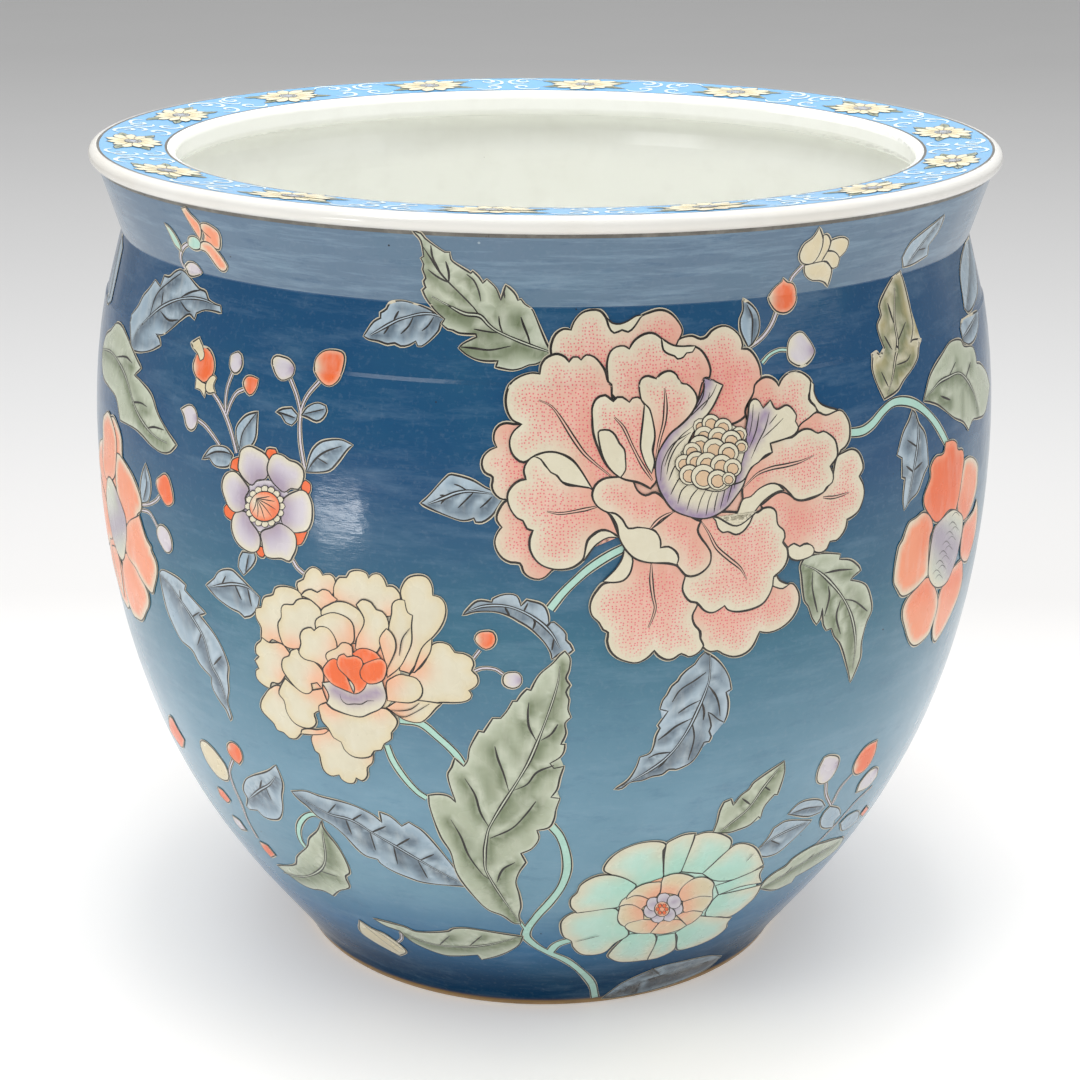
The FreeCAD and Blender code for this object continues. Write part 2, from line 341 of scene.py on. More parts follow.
class Brush:
    """Paints one group of motifs: filled shapes, ink lines and halos, as thin skins on the bowl."""

    START_RADIUS = 0.23             # for distances round the bowl, until centre_on works it out
    SMALLEST_CELL = 1.1 * MM
    DOTS_START, DOTS_FULL = 2.2 * MM, 5.5 * MM      # how far inside an outline the dots begin
    WAVE = 5.2 * MM                 # a stroke's width wavers over this length
    THIN_END = 0.35                 # width of a stroke's tips against its middle
    BIG_LEAF = 45 * MM              # smaller leaves get finer ribs and shading
    PIXEL = 0.45 * MM               # about one pixel of the photograph on the bowl

    def __init__(self, name, scene, base=1, place=wall_place, corners=None):
        self.name = name
        self.base = base
        self.paints = scene.jardiniere_paints
        self.sizes = scene.jardiniere_sizes
        self.bm = bmesh.new()
        self.colours = self.bm.verts.layers.float_color.new("paint")
        self.dots = self.bm.verts.layers.float.new("stipple")
        self.level = self.bm.verts.layers.float.new("level")
        self.charts = self.bm.verts.layers.float_vector.new("chart")
        self.place = place
        self.corners = SKIN.corners if corners is None else corners
        self.layer = base
        self.radius = self.START_RADIUS

    def pick(self, name):
        return tuple(getattr(self.paints, name)) if isinstance(name, str) else name

    def chart(self, pixels):
        places = [SKIN.hit(pixel) for pixel in pixels]
        return [(angle * self.radius, run) for angle, run in places]

    def centre_on(self, pixel):
        """Works out distances round the bowl at the radius that shows at this pixel."""
        self.radius = SKIN.across(SKIN.hit(pixel)[1])[0]

    def settle(self, verts, level):
        """Moves flat vertices from the chart to their place on the bowl."""
        for vert in verts:
            vert[self.level] = level
            vert[self.charts] = vert.co
            vert.co = self.place(vert.co.x / self.radius, vert.co.y, level)[0]

    def height_of(self, layer):
        return self.sizes.lift + layer * self.sizes.layer

    def fill(self, line, edge, body, margin, washes, stipple):
        """One flat shape of enamel, its colour running from edge to body over the margin."""
        spread = min(max(p[axis] for p in line) - min(p[axis] for p in line) for axis in (0, 1))
        cell = min(self.sizes.cell, max(self.SMALLEST_CELL, spread / 8))
        patch = bmesh.new()
        corners = [patch.verts.new((x, y, 0)) for x, y in line]
        face = patch.faces.new(corners)
        turns = zip(line, line[1:] + line[:1])
        if face.normal.z < 0 or sum(a[0] * b[1] - b[0] * a[1] for a, b in turns) < 0:
            bmesh.ops.reverse_faces(patch, faces=[face])
        bmesh.ops.triangulate(patch, faces=patch.faces[:])
        for axis in (0, 1):
            low, high = min(p[axis] for p in line), max(p[axis] for p in line)
            cuts = [low + cell * (k + 0.5) for k in range(int((high - low) / cell))]
            if axis == 1:
                cuts += [corner for corner in self.corners if low < corner < high]
            for cut in cuts:
                point = (cut, 0, 0) if axis == 0 else (0, cut, 0)
                way = (1, 0, 0) if axis == 0 else (0, 1, 0)
                bmesh.ops.bisect_plane(patch, geom=patch.verts[:] + patch.edges[:] + patch.faces[:],
                                       dist=1e-6, plane_co=point, plane_no=way)
        bmesh.ops.triangulate(patch, faces=patch.faces[:])
        for face in patch.faces:
            face.normal_update()
            if face.normal.z < 0:
                face.normal_flip()
        border = KDTree(len(line))
        for i, (x, y) in enumerate(line):
            border.insert((x, y, 0), i)
        border.balance()
        edge, body = self.pick(edge), self.pick(body)
        trees = []
        for wash, size, strength, places in washes:
            tree = KDTree(len(places))
            for i, (x, y) in enumerate(places):
                tree.insert((x, y, 0), i)
            tree.balance()
            trees.append((self.pick(wash), size, strength, tree))
        made = {}
        for vert in patch.verts:
            inside = border.find(vert.co)[2]
            tone = blend_colours(edge, body, ease(inside, 0, margin))
            for wash, size, strength, tree in trees:
                away = tree.find(vert.co)[2] / size
                tone = blend_colours(tone, wash, strength * math.exp(-away * away))
            new = self.bm.verts.new(vert.co)
            new[self.colours] = (*tone, 1)
            new[self.dots] = stipple * ease(inside, self.DOTS_START, self.DOTS_FULL)
            made[vert] = new
        for face in patch.faces:
            self.bm.faces.new([made[v] for v in face.verts]).material_index = 0
        self.settle(made.values(), self.height_of(self.layer))
        patch.free()

    def stroke(self, line, width, layer=None, closed=False, paint="ink", taper=True, slot=1, wobble=0.22):
        """A drawn line: an edge chain extruded into a ribbon, its two sides then moved apart."""
        layer = self.layer + 0.45 if layer is None else layer
        points = list(line)
        for corner in self.corners:
            cut = []
            for i, point in enumerate(points):
                cut.append(point)
                if i + 1 < len(points) or closed:
                    other = points[(i + 1) % len(points)]
                    if (point[1] - corner) * (other[1] - corner) < 0:
                        part = (corner - point[1]) / (other[1] - point[1])
                        cut.append((point[0] + part * (other[0] - point[0]), corner))
            points = cut
        if len(points) < 2:
            return
        verts = [self.bm.verts.new((x, y, 0)) for x, y in points]
        pairs = list(zip(verts, verts[1:])) + ([(verts[-1], verts[0])] if closed and len(verts) > 2 else [])
        edges = [self.bm.edges.new(pair) for pair in pairs]
        grown = bmesh.ops.extrude_edge_only(self.bm, edges=edges)["geom"]
        faces = [f for f in grown if isinstance(f, bmesh.types.BMFace)]
        twins = {}
        for face in faces:
            for rung in face.edges:
                a, b = rung.verts
                if (a.co - b.co).length < 1e-9:
                    twins[a], twins[b] = b, a
        count = len(points)
        tone = (*self.pick(paint), 1)
        phase = 40 * (points[0][0] + points[0][1]) / MM
        travelled = 0.0
        whole = sum(math.dist(a, b) for a, b in zip(points, points[1:])) or 1.0
        for i, vert in enumerate(verts):
            x, y = points[i]
            before = points[i - 1] if i or closed else points[i]
            after = points[(i + 1) % count] if i + 1 < count or closed else points[i]
            if i:
                travelled += math.dist(points[i - 1], points[i])
            stretch = self.stretch(y)
            arriving = unit((stretch * (x - before[0]), y - before[1]))
            leaving = unit((stretch * (after[0] - x), after[1] - y))
            way = unit([arriving[axis] * (before != points[i]) + leaving[axis] * (after != points[i])
                        for axis in (0, 1)])
            size = width * (1 + wobble * math.sin(phase + travelled / self.WAVE))
            if taper and not closed:
                full = min(1.0, 4 * travelled / whole, 4 * (1 - travelled / whole) + 0.05)
                size *= self.THIN_END + (1 - self.THIN_END) * full
            side = (-way[1] * size / 2 / stretch, way[0] * size / 2)
            twin = twins.get(vert)
            for one, sign in ((vert, 1), (twin, -1)):
                if one is not None:
                    one.co = (x + sign * side[0], y + sign * side[1], 0)
                    one[self.colours] = tone
        for face in faces:
            face.normal_update()
            if face.normal.z < 0:
                face.normal_flip()
            face.material_index = slot
        self.settle([v for v in set(verts) | set(twins) if v.is_valid], self.height_of(layer))

    def stretch(self, run):
        return SKIN.across(run)[0] / self.radius

    def shape(self, pixels, edge, body, margin=6 * MM, washes=(), stipple=0.0, ink=1.0, halo=True,
              corner=68):
        """A closed motif given in pixels: halo under it, fill, ink outline."""
        line = smooth_line(self.chart(pixels), self.sizes.stroke_step, closed=True, corner=corner)
        self.closed(line, edge, body, margin, self.charted(washes), stipple, ink, halo)

    def charted(self, washes):
        """Washes whose places are given in pixels, with the places on the chart."""
        made = []
        for wash, size, strength, pixels in washes:
            places = self.chart(pixels)
            made.append((wash, size, strength, smooth_line(places, 1.5 * MM) if len(places) > 1 else places))
        return made

    def closed(self, line, edge, body, margin, washes, stipple, ink, halo):
        """A closed motif given on the chart; the next one lies a layer higher."""
        width = self.sizes.ink_width * ink
        if halo:
            self.stroke(line, width + 2 * self.sizes.halo_width, layer=self.base - 0.6, closed=True,
                        paint="halo", slot=0, wobble=0.3)
        self.fill(line, edge, body, margin, washes, stipple)
        self.stroke(line, width, closed=True)
        self.layer += 1

    def line(self, pixels, ink):
        """An open ink line given in pixels."""
        points = smooth_line(self.chart(pixels), self.sizes.stroke_step)
        self.stroke(points, self.sizes.ink_width * ink, layer=self.layer - 0.5)

    def double_line(self, pixels, gap, paint, ink=0.7):
        """A vein drawn as two ink lines with a pale one between them."""
        points = smooth_line(self.chart(pixels), self.sizes.stroke_step)
        self.stroke(points, gap + self.sizes.ink_width * ink, layer=self.layer - 0.55)
        self.stroke(points, gap - self.sizes.ink_width * ink, layer=self.layer - 0.35, paint=paint, slot=0)

    def stem(self, pixels, width, paint, ink):
        """A stalk: pale enamel between two ink lines."""
        points = smooth_line(self.chart(pixels), self.sizes.stroke_step)
        edge = self.sizes.ink_width * ink
        self.stroke(points, width + 2 * edge + 1.4 * self.sizes.halo_width, layer=self.base - 0.6,
                    paint="halo", slot=0, taper=False, wobble=0.1)
        self.stroke(points, width + 2 * edge, layer=self.layer, taper=False, wobble=0.05)
        self.stroke(points, width, layer=self.layer + 0.4, paint=paint, slot=0, taper=False, wobble=0.05)

    def petal(self, pixels, edge, body, margin, heart, wash, reach, strength=0.8, ink=0.85, halo=True):
        """A petal that a wash darkens where it is nearest to the flower's heart."""
        near = sorted(pixels, key=lambda pixel: math.dist(pixel, heart))[:3]
        self.shape(pixels, edge, body, margin, [(wash, reach, strength, [pixel]) for pixel in near], ink=ink,
                   halo=halo)

    def beside(self, line, away):
        """A line moved that far to its lower side."""
        moved = []
        for (x, y), (next_x, next_y) in zip(line, line[1:]):
            across, up = unit((next_x - x, next_y - y))
            side = away if across < 0 else -away
            moved.append((x - side * up, y + side * across))
        return moved

    def leaf(self, tones, outline, rib, veins, shades):
        """A leaf with its ribs, light above them and dark below."""
        pale, body, dark = tones
        line = smooth_line(self.chart(trace(outline)), self.sizes.stroke_step, closed=True, corner=50)
        size = min(1.0, max(0.3, max(max(p[axis] for p in line) - min(p[axis] for p in line)
                                     for axis in (0, 1)) / self.BIG_LEAF))
        ribs = [smooth_line(self.chart(trace(path)), 1.2 * MM) for path in (rib, *veins)]
        low = [place for path in ribs for place in self.beside(path, 1.5 * MM * size)]
        high = [place for path in ribs for place in self.beside(path, -2.4 * MM * size)]
        washes = [(dark, 3.8 * MM * size, 0.9, low), (pale, 1.9 * MM * size, 0.85, high)]
        for shade in shades:
            washes.append((dark, 2.8 * MM * size, 0.5, smooth_line(self.chart(trace(shade)), 1.5 * MM)))
        self.closed(line, pale, body, 3 * MM * size, washes, 0.0, 0.9, True)
        for i, path in enumerate(ribs):
            if i == 0 and size > 0.6:
                self.stroke(path, 0.9 * MM + self.sizes.ink_width, layer=self.layer - 0.3)
                self.stroke(path, 0.5 * MM, layer=self.layer - 0.1, paint=pale, slot=0)
            else:
                self.stroke(path, self.sizes.ink_width * (0.75 + 0.35 * size), layer=self.layer - 0.4)

    def bud(self, kind, outline):
        """A bud or small petal, lit at its left."""
        pixels = trace(outline)
        edge, body, lit = {"orange": ("peach", "orange", "cream"), "lilac": ("cream", "pale_lilac", "cream"),
                           "cream": ("cream", "warm_cream", "cream"), "mint": ("cream", "mint", "cream"),
                           "coral": ("cream", "coral", "cream"),
                           "slate": ("pale_slate", "slate", "pale_slate")}[kind]
        left, right = min(pixels), max(pixels)
        width = (right[0] - left[0]) * self.PIXEL
        washes = [(lit, max(1.2 * MM, width * 0.33), 0.85, [left])]
        if kind == "lilac":
            washes.append(("lilac", max(1.2 * MM, width * 0.3), 0.8, [right]))
        self.shape(pixels, edge, body, max(0.9 * MM, width * 0.2), washes, ink=0.7)

    def finish(self, materials, slot="white_glaze", copies=2):
        """Makes the piece, with its turned copy on the other side of the bowl."""
        parts = self.bm.verts[:] + self.bm.edges[:] + self.bm.faces[:]
        for k in range(1, copies):
            made = bmesh.ops.duplicate(self.bm, geom=parts)["geom"]
            turn = Matrix.Rotation(2 * math.pi * k / copies, 3, "Z")
            bmesh.ops.rotate(self.bm, cent=(0, 0, 0), matrix=turn,
                             verts=[v for v in made if isinstance(v, bmesh.types.BMVert)])
        mesh = bpy.data.meshes.new(self.name)
        self.bm.verts.ensure_lookup_table()
        normals = []
        for vert in self.bm.verts:
            angle = math.atan2(vert.co.x, -vert.co.y)
            normals.append(self.normal_at(angle, vert.co))
        self.bm.to_mesh(mesh)
        self.bm.free()
        mesh.shade_smooth()
        mesh.normals_split_custom_set_from_vertices(normals)
        for material in materials:
            mesh.materials.append(material)
        piece = bpy.data.objects.new(self.name, mesh)
        bpy.context.scene.collection.objects.link(piece)
        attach(piece, "root")
        return piece

    def normal_at(self, angle, co):
        return self.place(angle, SKIN.run_at(min(max(co.z, SKIN.heights[0]), SKIN.heights[-1])), 0)[1]


# ---- materials -----------------------------------------------------------------------------------
class Shader:
    """Adds nodes to one material and joins them up."""

    def __init__(self, name, roughness, ior=1.5):
        self.material = bpy.data.materials.new(name)
        self.material.use_nodes = True
        self.tree = self.material.node_tree
        self.bsdf = self.tree.nodes["Principled BSDF"]
        self.bsdf.inputs["Roughness"].default_value = roughness
        self.bsdf.inputs["IOR"].default_value = ior
        self.objects = self.add("ShaderNodeTexCoord").outputs["Object"]

    def add(self, kind, inputs=None, **settings):
        node = self.tree.nodes.new(kind)
        for key, value in settings.items():
            setattr(node, key, value)
        for key, value in (inputs or {}).items():
            if isinstance(value, bpy.types.NodeSocket):
                self.tree.links.new(value, node.inputs[key])
            else:
                node.inputs[key].default_value = value
        return node

    def noise(self, scale, detail=3.0, roughness=0.5, stretch=None):
        where = self.objects
        if stretch:
            where = self.add("ShaderNodeMapping", {"Vector": where, "Scale": stretch}).outputs["Vector"]
        return self.add("ShaderNodeTexNoise", {"Vector": where, "Scale": scale, "Detail": detail,
                                               "Roughness": roughness}).outputs["Fac"]

    def ramp(self, factor, stops):
        node = self.add("ShaderNodeValToRGB", {"Fac": factor})
        elements = node.color_ramp.elements
        while len(elements) < len(stops):
            elements.new(1.0)
        for element, (place, value) in zip(elements, stops):
            element.position = place
            element.color = (*value, 1) if len(value) == 3 else value
        return node.outputs["Color"]

    def mix(self, factor, one, other, kind="MIX"):
        node = self.add("ShaderNodeMix", data_type="RGBA", blend_type=kind)
        for key, value in (("Factor", factor), ("A", one), ("B", other)):
            socket = next(s for s in node.inputs if s.name == key and s.enabled
                          and (key == "Factor" or s.type == "RGBA"))
            if isinstance(value, bpy.types.NodeSocket):
                self.tree.links.new(value, socket)
            else:
                socket.default_value = value if key == "Factor" else (*value, 1)
        return next(s for s in node.outputs if s.enabled and s.type == "RGBA")

    def math(self, kind, one, other=0.0, clamp=False):
        node = self.add("ShaderNodeMath", operation=kind, use_clamp=clamp)
        for socket, value in zip(node.inputs, (one, other)):
            if isinstance(value, bpy.types.NodeSocket):
                self.tree.links.new(value, socket)
            else:
                socket.default_value = value
        return node.outputs["Value"]

    def spread(self, value, low, high, to_low=0.0, to_high=1.0):
        return self.add("ShaderNodeMapRange", {"Value": value, "From Min": low, "From Max": high,
                                               "To Min": to_low, "To Max": to_high}).outputs["Result"]

    def height(self):
        return self.add("ShaderNodeSeparateXYZ", {"Vector": self.objects}).outputs["Z"]

    def specks(self, scale, size, share):
        """1 in small round spots: their spacing, their size against it, and how many cells have one."""
        cells = self.add("ShaderNodeTexVoronoi", {"Vector": self.objects, "Scale": scale})
        near = self.spread(cells.outputs["Distance"], size, size * 0.6)
        some = self.add("ShaderNodeSeparateColor", {"Color": cells.outputs["Color"]}).outputs["Red"]
        chosen = self.spread(some, share, share * 0.98)
        return self.math("MULTIPLY", near, chosen, clamp=True)

    def bump(self, height, distance, strength=1.0, normal=None):
        inputs = {"Height": height, "Distance": distance, "Strength": strength}
        if normal is not None:
            inputs["Normal"] = normal
        return self.add("ShaderNodeBump", inputs).outputs["Normal"]

    def finish(self, base, normal=None, roughness=None):
        self.tree.links.new(base, self.bsdf.inputs["Base Color"])
        if normal is not None:
            self.tree.links.new(normal, self.bsdf.inputs["Normal"])
        if roughness is not None:
            self.tree.links.new(roughness, self.bsdf.inputs["Roughness"])
        return self.material


def ground_enamel(name, colours, stops, streaks, brushed=0.16):
    """Glossy blue enamel with brush streaks, specks and pits, its tone changing with height; on the body the
    height stops paint shade at the foot and a reflection of the floor below the belly.
    """
    shader = Shader(name, 0.14, 1.5)
    shader.bsdf.inputs["Specular IOR Level"].default_value = 0.36
    top = SKIN.heights[-1]
    # the white floor's reflection is calmed towards the foot
    calmed = shader.spread(shader.height(), 0.01, 0.11, 1.06, 1.5)
    shader.tree.links.new(calmed, shader.bsdf.inputs["IOR"])
    tone = shader.ramp(shader.spread(shader.height(), 0, top), [(z / top, value) for z, value in stops])
    clouds = shader.noise(11.0, 5.0, 0.65)
    tone = shader.mix(shader.spread(clouds, 0.5, 0.75, 0, 0.26), tone, tuple(colours.mid_blue))
    tone = shader.mix(shader.spread(clouds, 0.5, 0.3, 0, 0.22), tone, tuple(colours.deep_blue))
    sweeps = shader.noise(20.0, 5.0, 0.7, (1, 1, streaks))
    tone = shader.mix(shader.spread(sweeps, 0.48, 0.72, 0, brushed), tone, colour(150, 178, 198))
    strokes = shader.noise(34.0, 6.0, 0.75, (1, 1, streaks * 0.6))
    tone = shader.mix(shader.spread(strokes, 0.55, 0.8, 0, brushed + 0.15), tone, tuple(colours.deep_blue))
    fine = shader.noise(420.0, 2.0, 0.6)
    tone = shader.mix(shader.spread(fine, 0.55, 0.8, 0, 0.10), tone, (0.30, 0.38, 0.45))
    pits = shader.specks(150.0, 0.09, 0.045)
    stars = shader.specks(70.0, 0.05, 0.10)
    tone = shader.mix(pits, tone, (0.008, 0.012, 0.02))
    tone = shader.mix(shader.math("MULTIPLY", stars, 0.55), tone, (0.45, 0.55, 0.6))
    waves = shader.noise(38.0, 3.0, 0.5)
    peel = shader.noise(260.0, 2.0, 0.5)
    normal = shader.bump(waves, 0.0012, 0.4)
    normal = shader.bump(sweeps, 0.0005, 0.35, normal)
    normal = shader.bump(peel, 0.00008, 0.4, normal)
    normal = shader.bump(shader.math("SUBTRACT", 1.0, pits), 0.00012, 0.6, normal)
    gloss = shader.spread(shader.noise(25.0, 4.0, 0.6), 0.3, 0.7, 0.09, 0.2)
    return shader.finish(tone, normal, gloss)


def white_glaze(name, base, warm, gloss=(0.08, 0.18), specks=0.03):
    """Pale glaze with faint warm clouds, kiln specks and an orange-peel surface."""
    shader = Shader(name, 0.12, 1.5)
    clouds = shader.noise(7.0, 4.0, 0.6)
    tone = shader.mix(shader.spread(clouds, 0.45, 0.75, 0, 0.35), base, warm)
    tone = shader.mix(shader.spread(shader.noise(60.0, 3.0), 0.5, 0.8, 0, 0.08), tone, (0.5, 0.47, 0.4))
    grit = shader.specks(190.0, 0.07, specks)
    tone = shader.mix(shader.math("MULTIPLY", grit, 0.7), tone, (0.12, 0.09, 0.06))
    normal = shader.bump(shader.noise(45.0, 3.0), 0.0006, 0.3)
    normal = shader.bump(shader.noise(300.0, 2.0), 0.00006, 0.4, normal)
    rough = shader.spread(shader.noise(30.0, 3.0), 0.3, 0.7, *gloss)
    return shader.finish(tone, normal, rough)


def line_enamel(name, base, worn, roughness=0.35, wear=0.5):
    """Hand-drawn line enamel or gilding, uneven and worn through in places."""
    shader = Shader(name, roughness, 1.5)
    thin = shader.noise(110.0, 4.0, 0.65)
    tone = shader.mix(shader.spread(thin, 0.45, 0.75, 0, wear), base, worn)
    darker = tuple(value * 0.45 for value in base)
    tone = shader.mix(shader.spread(shader.noise(45.0, 3.0), 0.5, 0.8, 0, 0.4), tone, darker)
    normal = shader.bump(shader.noise(500.0, 3.0), 0.00005, 0.6)
    return shader.finish(tone, normal, shader.spread(thin, 0.3, 0.7, roughness * 0.7, roughness * 1.3))


def bare_clay(name, base):
    """Unglazed fired clay with grit and iron spots."""
    shader = Shader(name, 0.8, 1.45)
    tone = shader.mix(shader.spread(shader.noise(35.0, 5.0, 0.65), 0.4, 0.7, 0, 0.5), base,
                      tuple(value * 0.72 for value in base))
    iron = shader.specks(240.0, 0.14, 0.06)
    tone = shader.mix(iron, tone, (0.10, 0.05, 0.03))
    normal = shader.bump(shader.noise(600.0, 4.0, 0.7), 0.0002, 0.6)
    return shader.finish(tone, normal)


def overglaze(scene):
    """Painted enamel: the piece's own colours, brushed a little uneven, with dots where it is stippled."""
    found = bpy.data.materials.get("overglaze enamel")
    if found:
        return found
    paints = scene.jardiniere_paints
    shader = Shader("overglaze enamel", 0.28, 1.5)
    paint = shader.add("ShaderNodeAttribute", attribute_name="paint").outputs["Color"]
    dense = shader.add("ShaderNodeAttribute", attribute_name="stipple").outputs["Fac"]
    cloud = shader.spread(shader.noise(85.0, 4.0, 0.65), 0.35, 0.7, 0, 0.16)
    tone = shader.mix(cloud, paint, (0.62, 0.55, 0.44), "MULTIPLY")
    tone = shader.mix(shader.spread(shader.noise(190.0, 3.0, 0.6, (1, 1, 0.25)), 0.5, 0.75, 0, 0.14), tone,
                      (0.86, 0.84, 0.76))
    flat = shader.add("ShaderNodeAttribute", attribute_name="chart").outputs["Vector"]
    cells = shader.add("ShaderNodeTexVoronoi", {"Vector": flat, "Scale": 600.0, "Randomness": 0.6},
                       voronoi_dimensions="2D")
    dots = shader.spread(cells.outputs["Distance"], 0.27, 0.16)
    dots = shader.math("MULTIPLY", dots, dense, clamp=True)
    tone = shader.mix(shader.math("MULTIPLY", dots, 0.85), tone, tuple(paints.stipple))
    normal = shader.bump(shader.noise(160.0, 3.0, 0.6), 0.00012, 0.35)
    normal = shader.bump(shader.noise(900.0, 2.0), 0.00003, 0.4, normal)
    gloss = shader.spread(shader.noise(60.0, 3.0), 0.3, 0.7, 0.2, 0.36)
    return shader.finish(tone, normal, gloss)


def ink(scene):
    """Drawn line: dark brown-black with the brush's thin places."""
    found = bpy.data.materials.get("drawn ink")
    if found:
        return found
    base = tuple(scene.jardiniere_paints.ink)
    shader = Shader("drawn ink", 0.35, 1.5)
    worn = shader.spread(shader.noise(240.0, 4.0, 0.7), 0.5, 0.8, 0, 0.5)
    tone = shader.mix(worn, base, (0.12, 0.095, 0.075))
    normal = shader.bump(shader.noise(700.0, 2.0), 0.00004, 0.5)
    return shader.finish(tone, normal, shader.spread(shader.noise(90.0, 2.0), 0.3, 0.7, 0.28, 0.45))


